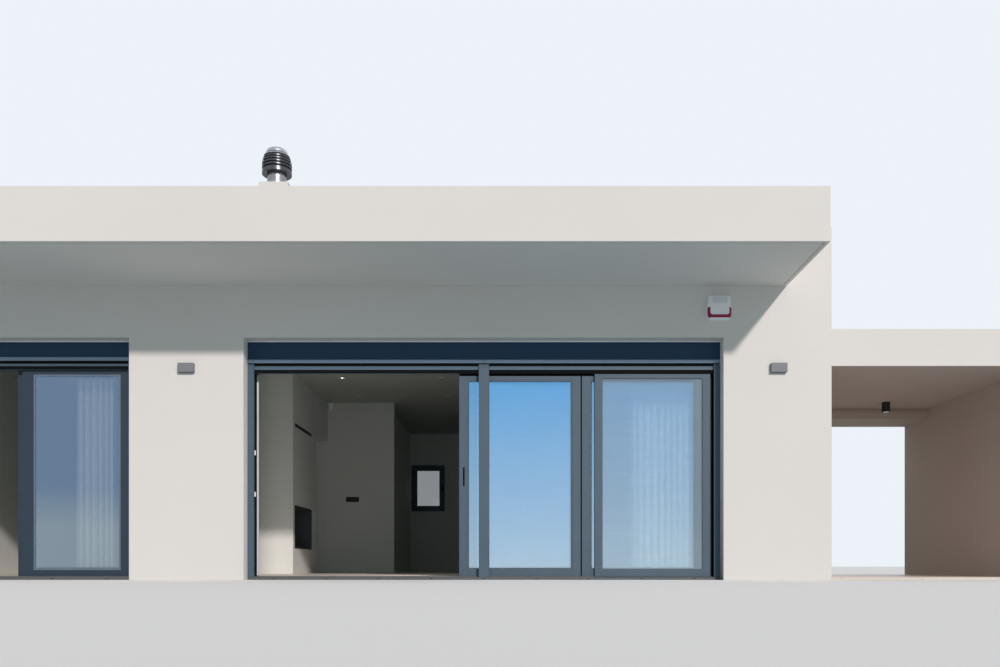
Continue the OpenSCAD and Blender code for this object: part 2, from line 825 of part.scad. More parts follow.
// Frame of the insect screen, on its own rail and with its own fin in its top groove
module screen_frame() {
    groove = screen_rail_w + 2 * rail_side;
    y = (screen_t - groove) / 2;
    color("slategray") place() translate([screen_x, screen_y, sash_z]) difference() {
        cube([screen_w, screen_t, sash_h]);
        translate([screen_bar, -1, screen_bar])
            cube([screen_w - 2 * screen_bar, screen_t + 2, sash_h - 2 * screen_bar]);
        translate([-1, y, -1]) cube([screen_w + 2, groove, rail_h - sash_lift + slip + 1]);
        translate([-1, y, sash_h - fin_h - 4]) cube([screen_w + 2, groove, fin_h + 5]);
    }
}

module screen_mesh() {
    color("gray") place()
        translate([screen_x + screen_bar, screen_y + screen_t / 2 - 1, sash_z + screen_bar])
            cube([screen_w - 2 * screen_bar, 2, sash_h - 2 * screen_bar]);
}

// Fixed frame flush with a sash that is set back on the outside
module back_window_frames() {
    h = window_head - window_sill;
    color("slategray") place() for (x = window_xs)
        translate([x, window_y, window_sill]) difference() {
            cube([window_w, window_t, h]);
            translate([window_bar, -1, window_bar])
                cube([window_w - 2 * window_bar, window_t + 2, h - 2 * window_bar]);
            translate([fixed_bar, window_t - 2 * bead_drop, fixed_bar])
                cube([window_w - 2 * fixed_bar, window_t, h - 2 * fixed_bar]);
        }
}

module back_window_panes() {
    h = window_head - window_sill;
    color("lightskyblue") place() for (x = window_xs)
        translate([x + window_bar, window_y + (window_t - pane_t) / 2,
            window_sill + window_bar])
            cube([window_w - 2 * window_bar, pane_t, h - 2 * window_bar]);
}

// Boarded leaf set back in its frame on both sides
module back_door() {
    leaf_w = back_door_w - 2 * fixed_bar;
    boards = 6;
    color("slategray") place() translate([back_door_x, window_y, 0]) difference() {
        cube([back_door_w, window_t, window_head]);
        for (face = [-window_t, window_t - 2 * bead_drop])
            translate([fixed_bar, face + (face < 0 ? 2 * bead_drop : 0), floor_t])
                cube([leaf_w, window_t, window_head - fixed_bar - floor_t]);
        for (i = [1:boards - 1])
            translate([fixed_bar + i * leaf_w / boards - bead_drop / 2,
                window_t - 3 * bead_drop, floor_t])
                cube([bead_drop, window_t, window_head - fixed_bar - floor_t]);
    }
}

// Box lamp that throws light up and down the wall from two open ends
module wall_lamps() {
    wall = 4;
    deep = lamp_h / 2 - 6;
    color("dimgray") place() for (x = wall_lamp_xs)
        translate([x - lamp_w / 2, -lamp_d, lamp_z - lamp_h / 2]) difference() {
            cube([lamp_w, lamp_d, lamp_h]);
            for (z = [-1, lamp_h - deep])
                translate([wall, wall, z])
                    cube([lamp_w - 2 * wall, lamp_d - 2 * wall, deep + 1]);
        }
}

// Front outline of the sounder: widest below the middle, with chamfered lower corners
module sounder_outline(inset) {
    w = sounder_w;
    h = sounder_h;
    waist = 0.45 * h;
    polygon([
        [w * 0.09 + inset / 2, inset], [w * 0.91 - inset / 2, inset],
        [w - inset, h * 0.18 + inset / 2], [w - inset, waist],
        [w * 0.95 - inset, h - inset], [w * 0.05 + inset, h - inset],
        [inset, waist], [inset, h * 0.18 + inset / 2]
    ]);
}

// Housing of the sounder with the sloping edge round its front
module sounder_housing() {
    rotate([90, 0, 0]) hull() {
        linear_extrude(sounder_d - sounder_bevel) sounder_outline(0);
        linear_extrude(sounder_d) sounder_outline(sounder_bevel);
    }
}

// Place of the lens: a band down both sides and across below the front
module lens_zone() {
    bar_top = lens_low + lens_h;
    corner = lens_h / 2;
    rotate([90, 0, 0]) translate([0, 0, sounder_d - sounder_bevel])
        linear_extrude(sounder_bevel + 1) difference() {
            translate([0, lens_low]) square([sounder_w, lens_top - lens_low]);
            polygon([
                [lens_w + corner, bar_top], [sounder_w - lens_w - corner, bar_top],
                [sounder_w - lens_w, bar_top + corner], [sounder_w - lens_w, lens_top + 1],
                [lens_w, lens_top + 1], [lens_w, bar_top + corner]
            ]);
        }
}

module alarm_sounder() {
    slots = 5;
    slot_h = sounder_h / 45;
    color("white") place() translate([sounder_x, 0, sounder_z]) difference() {
        sounder_housing();
        lens_zone();
        for (i = [0:slots - 1])
            translate([sounder_w / 5, -sounder_d - 1, sounder_h * 0.68 + 2.2 * i * slot_h])
                cube([sounder_w * 3 / 5, sounder_bevel / 2, slot_h]);
    }
}

module sounder_lens() {
    color("darkred") place() translate([sounder_x, 0, sounder_z]) intersection() {
        sounder_housing();
        lens_zone();
    }
}

// Recessed lamp: a flat rim and a can with a tapered mouth
module downlights() {
    rim_h = 3;
    can_h = 57;
    color("white") place() for (p = downlight_xy) translate([p[0], p[1], ceiling_z])
        difference() {
            union() {
                translate([0, 0, -rim_h]) cylinder(d = downlight_d, h = rim_h);
                translate([0, 0, -1]) cylinder(d = downlight_d - 8, h = can_h);
            }
            translate([0, 0, -rim_h - 1])
                cylinder(d1 = downlight_d - 14, d2 = downlight_d - 34, h = can_h / 2);
        }
}

module veranda_wall() {
    color("white") place()
        block([total_w - veranda_wall_t, 0, 0], [veranda_wall_t, veranda_d, veranda_z]);
}

module veranda_roof() {
    color("white") place()
        block([main_w, 0, veranda_z], [veranda_w, veranda_d, veranda_roof_t]);
}

module veranda_beam() {
    color("white") place()
        block([main_w, veranda_d - beam_w, veranda_z - beam_h],
            [veranda_w - veranda_wall_t, beam_w, beam_h]);
}

module veranda_spot() {
    color("black") place() translate([main_w + spot_x, spot_y, veranda_z - spot_l])
        difference() {
            cylinder(d = spot_d, h = spot_l);
            translate([0, 0, -1]) cylinder(d = spot_d - 10, h = 24);
        }
}

// Ceiling rails with two runner slots each
module curtain_rails() {
    w = curtain_rail_w;
    h = curtain_rail_h;
    color("white") place() for (u = units)
        bar_x(u[0], u[1]) translate([wall_t + curtain_rail_in, ceiling_z - h]) difference() {
            square([w, h]);
            for (y = [w / 4, 3 * w / 4]) translate([y - w / 16, -1]) square([w / 8, h / 2 + 1]);
        }
}

module curtain(x, w) {
    hem_z = floor_t + hem_gap;
    color("ivory") place()
        block([x, wall_t + curtain_rail_in + (curtain_rail_w - curtain_t) / 2, hem_z],
            [w, curtain_t, ceiling_z - curtain_rail_h - slip - hem_z]);
}

module living_curtain() {
    curtain(living_x + living_w - curtain_in - curtain_w, curtain_w);
}

module bedroom_curtain() {
    curtain(bed_x + bed_w - bed_curtain_in - bed_curtain_w, bed_curtain_w);
}

floor_slabs();
front_wall_piers();
front_wall_head();
side_walls();
back_wall_base();
back_wall_piers();
back_wall_head();
ceiling();
roof_slab();
roof_upstands();
roof_parapet();
chimney_stack();
chimney_cowl();
bedroom_wall();
passage_head();
chimney_breast();
fireplace_frame();
service_wall();
door_sills();
door_jambs();
door_heads();
shutter_boxes();
shutter_guides();
shutter_end_slats();
outer_left_sash();
outer_left_glass();
outer_left_handle();
inner_left_sash();
inner_left_glass();
inner_right_sash();
inner_right_glass();
outer_right_sash();
outer_right_glass();
screen_frame();
screen_mesh();
bedroom_outer_sash();
bedroom_outer_glass();
bedroom_inner_sash();
bedroom_inner_glass();
back_window_frames();
back_window_panes();
back_door();
wall_lamps();
alarm_sounder();
sounder_lens();
downlights();
veranda_wall();
veranda_roof();
veranda_beam();
veranda_spot();
curtain_rails();
living_curtain();
bedroom_curtain();
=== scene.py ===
"""Dresses a white single-storey beach house: sliding doors under a deep canopy, a
chimney and an open veranda bay. All sizes are in metres, +X runs along the front,
+Y towards the back and +Z up.
"""
import math

import bmesh
import bpy
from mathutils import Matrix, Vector


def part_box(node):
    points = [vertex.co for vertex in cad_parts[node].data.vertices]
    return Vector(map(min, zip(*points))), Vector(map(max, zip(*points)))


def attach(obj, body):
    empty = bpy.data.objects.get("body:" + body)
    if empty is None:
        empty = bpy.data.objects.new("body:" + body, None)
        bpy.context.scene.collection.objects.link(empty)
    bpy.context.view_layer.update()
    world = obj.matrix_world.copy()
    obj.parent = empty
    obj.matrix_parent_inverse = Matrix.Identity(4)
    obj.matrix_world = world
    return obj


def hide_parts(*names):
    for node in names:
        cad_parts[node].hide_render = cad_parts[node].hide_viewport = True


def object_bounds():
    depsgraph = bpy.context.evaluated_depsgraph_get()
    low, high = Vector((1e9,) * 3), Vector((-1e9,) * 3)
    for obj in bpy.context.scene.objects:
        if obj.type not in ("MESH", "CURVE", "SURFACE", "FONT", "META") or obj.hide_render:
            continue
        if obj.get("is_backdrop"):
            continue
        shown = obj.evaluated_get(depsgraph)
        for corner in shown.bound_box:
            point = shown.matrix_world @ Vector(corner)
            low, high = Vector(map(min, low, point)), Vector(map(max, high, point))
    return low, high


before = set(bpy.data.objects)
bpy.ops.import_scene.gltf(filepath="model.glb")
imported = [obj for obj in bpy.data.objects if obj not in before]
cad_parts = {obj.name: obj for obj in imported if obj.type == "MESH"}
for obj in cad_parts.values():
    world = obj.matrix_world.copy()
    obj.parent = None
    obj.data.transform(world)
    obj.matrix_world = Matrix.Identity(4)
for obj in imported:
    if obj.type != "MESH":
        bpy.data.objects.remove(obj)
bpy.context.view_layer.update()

# The view: straight at the front wall from ten metres away, with the lens just above
# the ground. The picture is shifted up so that the roof shows and upright lines stay upright.
SENSOR_MM, LENS_MM, SHIFT = 36.0, 32.72, (-0.011, 0.233)
EYE_RIGHT, EYE_AWAY, EYE_HIGH = 7.8, 10.0, 0.1485
front_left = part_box("front_wall_piers")[0]
view_data = bpy.data.cameras.new("front_view")
view_data.sensor_width, view_data.lens = SENSOR_MM, LENS_MM
view_data.shift_x, view_data.shift_y = SHIFT
view_camera = bpy.data.objects.new("front_view", view_data)
view_camera.location = (front_left.x + EYE_RIGHT, front_left.y - EYE_AWAY, EYE_HIGH)
view_camera.rotation_euler = (math.pi / 2, 0, 0)
bpy.context.scene.collection.objects.link(view_camera)
bpy.context.scene.camera = view_camera


# Walls, roof slab, canopy, parapet and veranda: hollow brick and concrete under one coat
# of white sand render. The coat runs on over every joint between them, and its outer
# corners are rounded with the float. The roof inside the parapets has a pale membrane.
# In the veranda bay the render is given a darker, warmer copy of its colour: painted
# shade and painted warm bounced light.
class Wire:
    """One value in a material's node tree. Sums on wires add Math nodes."""

    def __init__(self, tree, socket=None):
        self.tree, self.socket = tree, socket

    def node(self, kind, settings, sockets, out=0):
        """Adds a node: its settings first, then the values or links of its sockets."""
        made = self.tree.nodes.new(kind)
        for name, value in settings.items():
            setattr(made, name, value)
        for key, value in sockets.items():
            if isinstance(value, Wire):
                self.tree.links.new(value.socket, made.inputs[key])
            else:
                made.inputs[key].default_value = value
        return Wire(self.tree, made.outputs[out] if made.outputs else None)

    def maths(self, operation, *others):
        """A sum on this wire and the others, in that order."""
        terms = dict(enumerate((self, *others)))
        return self.node("ShaderNodeMath", {"operation": operation}, terms)

    def __add__(self, other):
        return self.maths("ADD", other)

    def __sub__(self, other):
        return self.maths("SUBTRACT", other)

    def __rsub__(self, other):
        return self.node("ShaderNodeMath", {"operation": "SUBTRACT"}, {0: other, 1: self})

    def __mul__(self, other):
        return self.maths("MULTIPLY", other)

    __radd__, __rmul__ = __add__, __mul__


def finish(name, coat, **sizes):
    """A material. coat gets the place on the object and gives back the surface shader."""
    material = bpy.data.materials.new(name)
    material.use_nodes = True
    material.node_tree.nodes.clear()
    place = Wire(material.node_tree).node("ShaderNodeTexCoord", {}, {}, "Object")
    place.node("ShaderNodeOutputMaterial", {}, {"Surface": coat(place, **sizes)})
    return material


def surface(place, sockets):
    """The shader of a solid surface, with these sockets set or linked."""
    return place.node("ShaderNodeBsdfPrincipled", {}, sockets)


def distance(place, axis):
    """How far a place is along one axis, X, Y or Z."""
    return place.node("ShaderNodeSeparateXYZ", {}, {"Vector": place}, axis)


def cloud(place, scale, detail=2.0, stretch=(1, 1, 1)):
    """Soft noise round one half. scale is in patches a metre."""
    spot = place.node("ShaderNodeVectorMath", {"operation": "MULTIPLY"}, {0: place, 1: stretch})
    return place.node("ShaderNodeTexNoise", {}, {"Vector": spot, "Scale": scale, "Detail": detail})


def blend(mask, first, second):
    """A colour that goes from first to second as the mask goes from 0 to 1."""
    ends = [colour if isinstance(colour, Wire) else (*colour, 1) for colour in (first, second)]
    return mask.node("ShaderNodeMix", {"data_type": "RGBA"}, {0: mask, 6: ends[0], 7: ends[1]}, 2)


def rough(height, depth):
    """A surface normal from a height between 0 and 1 that stands for depth in metres."""
    return height.node("ShaderNodeBump", {}, {"Distance": depth, "Height": height})


def sand_render(place, light, shade, grain):
    """Float-finished mineral render: broad trowel sweeps, fine sand and faint clouding."""
    sweeps = cloud(place, 1.7, 3.0, (1, 1, 2.2))
    patches = cloud(place, 0.5, 4.0)
    sand = cloud(place, 260.0, 2.0)
    height = sweeps * 0.7 + cloud(place, 9.0, 2.0) * 0.3 + sand * grain
    return surface(place, {
        "Base Color": blend(patches * 1.6 + sand * 0.3 - 0.45, light, shade),
        "Roughness": sand * 0.1 + 0.8,
        "Specular IOR Level": 0.3,
        "Normal": rough(height, depth=0.0035),
    })


def roof_membrane(place, pitch, seam_width):
    """Pale liquid coating with roller marks, a seam where two sheets lap and water marks."""
    seam = distance(place, "X").maths("PINGPONG", pitch / 2).maths("LESS_THAN", seam_width / 2)
    marks = cloud(place, 0.8, 5.0)
    age = marks * 1.5 - 0.3 + seam * 0.45
    return surface(place, {
        "Base Color": blend(age, (0.66, 0.65, 0.62), (0.50, 0.49, 0.46)),
        "Roughness": marks * 0.2 + 0.55,
        "Normal": rough(seam * 0.6 + cloud(place, 60.0) * 0.25, depth=0.004),
    })


TOUCH, FLAT, SHARP, SMOOTH_UNDER = 1e-5, math.radians(0.5), 0.5, math.radians(35)


def joined(shape):
    """Joins corners that touch, and makes one face of neighbours that lie in one plane."""
    bmesh.ops.remove_doubles(shape, verts=shape.verts, dist=TOUCH)
    bmesh.ops.dissolve_limit(shape, angle_limit=FLAT, verts=shape.verts, edges=shape.edges)
    return shape


def solid_of(node):
    """A CAD node's mesh as a bmesh with whole faces."""
    solid = bmesh.new()
    solid.from_mesh(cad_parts[node].data)
    return joined(solid)


def plain_object(name, solid):
    """An object made of a bmesh, which is used up."""
    mesh = bpy.data.meshes.new(name)
    solid.to_mesh(mesh)
    solid.free()
    made = bpy.data.objects.new(name, mesh)
    bpy.context.scene.collection.objects.link(made)
    return made


def united(name, nodes):
    """One closed bmesh of CAD nodes that touch, without the faces between them."""
    cores = [plain_object(name + "_core", solid_of(node)) for node in nodes]
    for core in cores[1:]:
        joint = cores[0].modifiers.new("joint", "BOOLEAN")
        joint.operation, joint.solver, joint.object = "UNION", "EXACT", core
    whole = bmesh.new()
    whole.from_object(cores[0], bpy.context.evaluated_depsgraph_get())
    for core in cores:
        bpy.data.meshes.remove(core.data)
    return joined(whole)


def round_corners(shape, radius, steps=2, foot=-1.0):
    """Rounds the outer corners of a shape, apart from those that lie on its foot."""
    outer = [
        edge for edge in shape.edges
        if len(edge.link_faces) == 2 and edge.is_convex and edge.calc_face_angle() > SHARP
        and max(corner.co.z for corner in edge.verts) > foot
    ]
    bmesh.ops.bevel(
        shape, geom=outer, offset=radius, segments=steps, profile=0.5, affect="EDGES",
        clamp_overlap=True,
    )


def piece(name, body, materials, shape, smooth=True):
    """An object made of a bmesh, which rides with a CAD body."""
    made = plain_object(name, shape)
    for material in materials:
        made.data.materials.append(material)
    for face in made.data.polygons:
        face.use_smooth = smooth
    if smooth:
        made.data.set_sharp_from_angle(angle=SMOOTH_UNDER)
        made.modifiers.new("flat_faces", "WEIGHTED_NORMAL").keep_sharp = True
    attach(made, body)
    return made


white_render = finish(
    "white_render", sand_render, light=(0.80, 0.775, 0.75), shade=(0.755, 0.73, 0.70), grain=0.10
)
# The inner plaster's faint green-grey tint is partly painted light: warm white plaster, tinted to
# stand for the cool light of the rooms.
inner_plaster = finish(
    "inner_plaster", sand_render, light=(0.70, 0.715, 0.69), shade=(0.66, 0.675, 0.65), grain=0.02
)
# A darker, warmer copy of the white render for the veranda bay: it paints the bay's shade and its
# warm bounced light.
bay_shaded_render = finish(
    "bay_shaded_render", sand_render, light=(0.62, 0.52, 0.47), shade=(0.57, 0.475, 0.43), grain=0.06
)
membrane = finish("roof_membrane", roof_membrane, pitch=1.05, seam_width=0.08)
INDOORS, ON_ROOF, IN_BAY = 1, 2, 3
COAT_R, COAT_FOOT, NEAR, LEVEL = 0.006, 0.01, 0.001, 0.99
RENDERED = (
    "front_wall_piers", "front_wall_head", "side_walls", "back_wall_base", "back_wall_piers",
    "back_wall_head", "roof_slab", "roof_upstands", "roof_parapet", "chimney_stack",
    "veranda_wall", "veranda_roof", "veranda_beam",
)
coat = united("render_coat", RENDERED)
round_corners(coat, COAT_R, foot=COAT_FOOT)
room_low, room_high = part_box("ceiling")
bay_roof, bay_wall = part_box("veranda_roof"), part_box("veranda_wall")
bay_low = Vector((bay_roof[0].x, bay_wall[0].y, 0))
bay_high = Vector((bay_wall[0].x, bay_wall[1].y, bay_roof[0].z))
roof_tops = (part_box("roof_slab")[1].z, bay_roof[1].z)
# The end wall is cut where the bay ends, so that only its part in the bay takes the bay's painted
# shade.
for across in ((0, 1, 0), (0, 0, 1)):
    beside = [face for face in coat.faces if abs(face.calc_center_median().x - bay_low.x) < NEAR]
    edges = dict.fromkeys(edge for face in beside for edge in face.edges)
    corners = dict.fromkeys(corner for face in beside for corner in face.verts)
    bmesh.ops.bisect_plane(
        coat, geom=[*beside, *edges, *corners], dist=TOUCH, plane_co=bay_high, plane_no=across
    )


def between(spot, low, high, axes):
    """Whether a spot lies between two corners along these axes."""
    return all(low[i] - NEAR < spot[i] < high[i] + NEAR for i in axes)


for face in coat.faces:
    middle = face.calc_center_median()
    if between(middle, room_low, room_high, (0, 1)) and middle.z < room_high.z:
        face.material_index = INDOORS
    elif face.normal.z > LEVEL and any(abs(middle.z - top) < NEAR for top in roof_tops):
        face.material_index = ON_ROOF
    elif between(middle, bay_low, bay_high, (0, 1, 2)):
        face.material_index = IN_BAY
render_coat = piece(
    "render_coat", "house",
    [white_render, inner_plaster, membrane, bay_shaded_render], coat
)
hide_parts(*RENDERED)


# Rooms: smooth painted plaster on the inner walls, the chimney breast and the thick
# wall over the passage, and a plasterboard ceiling. The ceiling is given a darker
# grey-green copy of the plaster's colour: painted shade.
def dress(material, *nodes):
    """Gives CAD nodes that are right as they are their finish."""
    for node in nodes:
        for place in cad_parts[node].material_slots:
            place.material = material


INNER_WALLS = ("bedroom_wall", "passage_head", "chimney_breast", "service_wall")
PLASTER_R = 0.003
inner = united("inner_walls", INNER_WALLS)
round_corners(inner, PLASTER_R)
inner_walls = piece("inner_walls", "house", [inner_plaster], inner)
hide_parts(*INNER_WALLS)
# The white ceiling is given a darker grey-green colour: painted shade.
shaded_ceiling_paint = finish(
    "shaded_ceiling_paint", sand_render, light=(0.47, 0.505, 0.48), shade=(0.44, 0.475, 0.45), grain=0.02
)
dress(shaded_ceiling_paint, "ceiling")


# Floors: large pale stoneware tiles with narrow joints, laid over the whole house and
# through to the veranda.
def stoneware(place, tile, joint):
    """Square tiles: each a little lighter or darker, with mottling and sunk joints."""
    ways = [distance(place, axis) for axis in "XY"]
    gaps = [way.maths("PINGPONG", tile / 2).maths("LESS_THAN", joint / 2) for way in ways]
    gap = gaps[0].maths("MAXIMUM", gaps[1])
    rows = [(way * (1 / tile)).maths("FLOOR") for way in ways]
    tile_number = rows[0] * 12.7 + rows[1] * 5.3
    batch = place.node("ShaderNodeTexWhiteNoise", {"noise_dimensions": "1D"}, {"W": tile_number})
    mottle = cloud(place, 22.0, 6.0) * 0.7 + batch * 0.3
    tiles = blend(mottle, (0.79, 0.715, 0.635), (0.69, 0.62, 0.55))
    return surface(place, {
        "Base Color": blend(gap, tiles, (0.40, 0.365, 0.325)),
        "Roughness": cloud(place, 5.0) * 0.15 + gap * 0.4 + 0.3,
        "Normal": rough(1.0 - gap + cloud(place, 90.0) * 0.05, depth=0.0012),
    })


dress(finish("floor_tiles", stoneware, tile=0.9, joint=0.003), "floor_slabs")


# Fireplace: a black steel frame and slot vent on the breast, and a lining of dark
# steel plates with cast ribs at the back of the fire opening.
BLOCK_SIDES = ((0, 2, 3, 1), (4, 5, 7, 6), (0, 1, 5, 4), (2, 6, 7, 3), (0, 4, 6, 2), (1, 3, 7, 5))


def add_block(shape, low, high, finish_index=0):
    """Adds a box between two corners to a shape, and gives back its sides by name."""
    corners = [
        shape.verts.new((x, y, z)) for z in (low[2], high[2]) for y in (low[1], high[1])
        for x in (low[0], high[0])
    ]
    sides = [shape.faces.new([corners[i] for i in order]) for order in BLOCK_SIDES]
    for face in sides:
        face.material_index = finish_index
    return dict(zip(("foot", "top", "front", "back", "left", "right"), sides))


def powder_coat(place, colour, gloss):
    """Matt powder coat: even colour with the faint orange peel of the baked powder."""
    peel = cloud(place, 900.0)
    haze = cloud(place, 3.0, 3.0)
    dusty = [channel * 1.18 + 0.004 for channel in colour]
    return surface(place, {
        "Base Color": blend(haze * 1.4 - 0.2, colour, dusty),
        "Roughness": haze * 0.1 + (1 - gloss),
        "Specular IOR Level": 0.5,
        "Normal": rough(peel, depth=0.00004),
    })


black_steel = finish("black_steel", powder_coat, colour=(0.012, 0.012, 0.013), gloss=0.42)
soot_steel = finish("soot_steel", powder_coat, colour=(0.055, 0.067, 0.075), gloss=0.25)
dress(black_steel, "fireplace_frame")

FIRE_BAR, FIRE_TALL, FIRE_DEEP, PLATE, PLATE_R, AIR = 0.022, 0.59, 0.4, 0.004, 0.001, 0.001
RIBS, RIB_WIDE, RIB_SHORT = 22, 0.018, 0.03
fire_low, fire_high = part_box("fireplace_frame")
fire_face = fire_low.x
fire_back = fire_face - FIRE_DEEP
fire_y = (fire_low.y + FIRE_BAR, fire_high.y - FIRE_BAR)
fire_z = (fire_low.z + FIRE_BAR, fire_low.z + FIRE_BAR + FIRE_TALL)
cheeks, decks = (
    ((ends[0] + AIR, ends[0] + PLATE), (ends[1] - PLATE, ends[1] - AIR)) for ends in (fire_y, fire_z)
)
lining = bmesh.new()
add_block(lining, (fire_back + AIR, cheeks[0][0], decks[0][0]),
          (fire_back + PLATE, cheeks[1][1], decks[1][1]))
for y0, y1 in cheeks:
    add_block(lining, (fire_back + PLATE, y0, decks[0][0]), (fire_face, y1, decks[1][1]))
for z0, z1 in decks:
    add_block(lining, (fire_back + PLATE, cheeks[0][1], z0), (fire_face, cheeks[1][0], z1))
for i in range(RIBS):
    y = fire_y[0] + (i + 0.5) * (fire_y[1] - fire_y[0]) / RIBS
    add_block(lining, (fire_back + PLATE, y - RIB_WIDE / 2, fire_z[0] + RIB_SHORT),
              (fire_back + 3 * PLATE, y + RIB_WIDE / 2, fire_z[1] - RIB_SHORT))
round_corners(lining, PLATE_R, steps=1)
piece("fire_lining", "house", [soot_steel], lining)


# Chimney: the rendered stack carries a cowl of brushed stainless steel, rolled and spot
# welded, with louvre rings round a dark core and a clamp ring and screws on its pipe.
# One steel is given at three brightnesses: the pipe's is darkened and the rings' darker
# still, a painted reflection of a dark sky, and the cap's is brighter, a painted highlight.
# The core and the insides of the rings and cap are black steel: painted shade.
def brushed_steel(place, clean, stained):
    """Steel brushed round its axis: fine level lines, with faint soot and heat tint."""
    lines = cloud(place, 14.0, 3.0, (1, 1, 60))
    stains = cloud(place, 6.0, 5.0, (1, 1, 0.35))
    return surface(place, {
        "Base Color": blend(stains * 1.8 - 0.4, clean, stained),
        "Metallic": 1.0,
        "Roughness": lines * 0.22 + stains * 0.15 + 0.12,
        "Normal": rough(lines, depth=0.0002),
    })


def foot_of(low, high):
    """The middle of a box's underside."""
    return Vector(((low.x + high.x) / 2, (low.y + high.y) / 2, low.z))


def spin_round(shape, foot, outline, finish_index=0, sides=72):
    """Turns an outline of (radius, height over the foot) round the upright through the foot."""
    rings = [[
        shape.verts.new((
            foot.x + radius * math.cos(math.tau * k / sides),
            foot.y + radius * math.sin(math.tau * k / sides), foot.z + z
        )) for k in range(sides)
    ] for radius, z in outline]
    for lower, upper in zip(rings, rings[1:]):
        for k in range(sides):
            after = (k + 1) % sides
            face = shape.faces.new((lower[k], lower[after], upper[after], upper[k]))
            face.material_index = finish_index


# Three copies of one brushed steel at different brightness: painted sky reflection on pipe and rings,
# painted highlight on the cap.
stainless = finish(
    "brushed_stainless", brushed_steel, clean=(0.41, 0.42, 0.435), stained=(0.20, 0.205, 0.22)
)
cap_highlight_steel = finish(
    "stainless_painted_highlight", brushed_steel, clean=(0.66, 0.68, 0.70), stained=(0.34, 0.35, 0.37)
)
sky_darkened_steel = finish(
    "sky_darkened_steel", brushed_steel, clean=(0.13, 0.135, 0.15), stained=(0.045, 0.047, 0.055)
)
STAINLESS, SHADE_BLACK, DARKENED_RINGS, CAP_HIGHLIGHT = range(4)
cowl_low, cowl_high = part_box("chimney_cowl")
cowl_foot, cowl_tall = foot_of(cowl_low, cowl_high), cowl_high.z - cowl_low.z
STEEL, PIPE_R, COWL_R = 0.002, 0.145, 0.224
# Outlines as (radius, height over the foot), apart from the cap's, which drops from the top.
CAP = (
    (0.001, 0.0), (0.080, 0.003), (0.120, 0.011), (0.145, 0.026), (0.158, 0.046),
    (0.163, 0.068), (0.166, 0.090), (0.190, 0.110), (0.194, 0.122),
)
BAND = (
    (0.214, 0.255), (COWL_R, 0.243), (COWL_R, 0.189), (0.220, 0.185), (0.150, 0.191),
    (0.150, 0.195), (0.214, 0.197), (0.214, 0.255),
)
CORE = (
    (0.150, 0.198), (0.207, 0.198), (0.207, 0.360), (0.188, 0.454), (0.150, 0.534), (0.001, 0.534)
)
PIPE = ((PIPE_R - STEEL, 0.0), (PIPE_R, 0.0), (PIPE_R, 0.195))
CLAMP = ((PIPE_R, 0.076), (0.1485, 0.080), (0.1485, 0.095), (PIPE_R, 0.099))
RINGS, RING_TOP, RING_PITCH, RING_TALL, RING_DEEP, RING_DROP = 4, 0.437, 0.0455, 0.022, 0.012, 0.006
TAPER, TAPER_FROM, TAPER_TALL = 0.018, 0.34, 0.1
SCREWS, SCREW_Z, SCREW_R, SAME_SPOT = 12, 0.015, 0.004, 1e-6

cowl = bmesh.new()
lid = [(radius, cowl_tall - drop) for radius, drop in CAP]
spin_round(cowl, cowl_foot, lid[::-1], CAP_HIGHLIGHT)
spin_round(cowl, cowl_foot, [*((radius, z - STEEL) for radius, z in lid[1:]), lid[-1]], SHADE_BLACK)
for i in range(RINGS):
    top = RING_TOP - i * RING_PITCH
    lip = top - RING_TALL
    wide = COWL_R - TAPER * max(0.0, (top - TAPER_FROM) / TAPER_TALL) ** 2
    inside = (wide - RING_DEEP, top)
    spin_round(cowl, cowl_foot, (inside, (wide, top - RING_DROP), (wide, lip)), DARKENED_RINGS)
    spin_round(cowl, cowl_foot, ((wide, lip), (wide - STEEL, lip), inside), SHADE_BLACK)
for outline, steel in (
    (BAND, DARKENED_RINGS), (PIPE, STAINLESS), (CORE, SHADE_BLACK), (CLAMP, STAINLESS)
):
    spin_round(cowl, cowl_foot, outline, steel)
for i in range(SCREWS):
    turn = math.tau * i / SCREWS
    spot = cowl_foot + Vector((math.cos(turn) * PIPE_R, math.sin(turn) * PIPE_R, SCREW_Z))
    head = bmesh.ops.create_uvsphere(cowl, u_segments=12, v_segments=6, radius=SCREW_R)
    bmesh.ops.translate(cowl, verts=head["verts"], vec=spot)
bmesh.ops.remove_doubles(cowl, verts=cowl.verts, dist=SAME_SPOT)
bmesh.ops.recalc_face_normals(cowl, faces=cowl.faces)
louvre_cowl = piece(
    "louvre_cowl", "house", [stainless, black_steel, sky_darkened_steel, cap_highlight_steel], cowl
)
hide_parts("chimney_cowl")


# Door units: powder-coated aluminium sills, jambs, heads and shutter guides, with the
# shutter boxes above them in a darker blue-grey. The heads are in a lighter copy of the
# coat: painted light. Black brush strips fill the recess under the trim of the head, the
# mouth of the shutter and the faces where the sashes close. They are partly real seals,
# and they are laid where these parts lie in shade, so they paint that shade.
anthracite = finish("anthracite_coat", powder_coat, colour=(0.054, 0.092, 0.129), gloss=0.5)
shutter_blue = finish("shutter_coat", powder_coat, colour=(0.002, 0.032, 0.083), gloss=0.3)
slat_blue = finish("slat_coat", powder_coat, colour=(0.215, 0.31, 0.42), gloss=0.55)
sill_grey = finish("sill_coat", powder_coat, colour=(0.088, 0.096, 0.098), gloss=0.5)
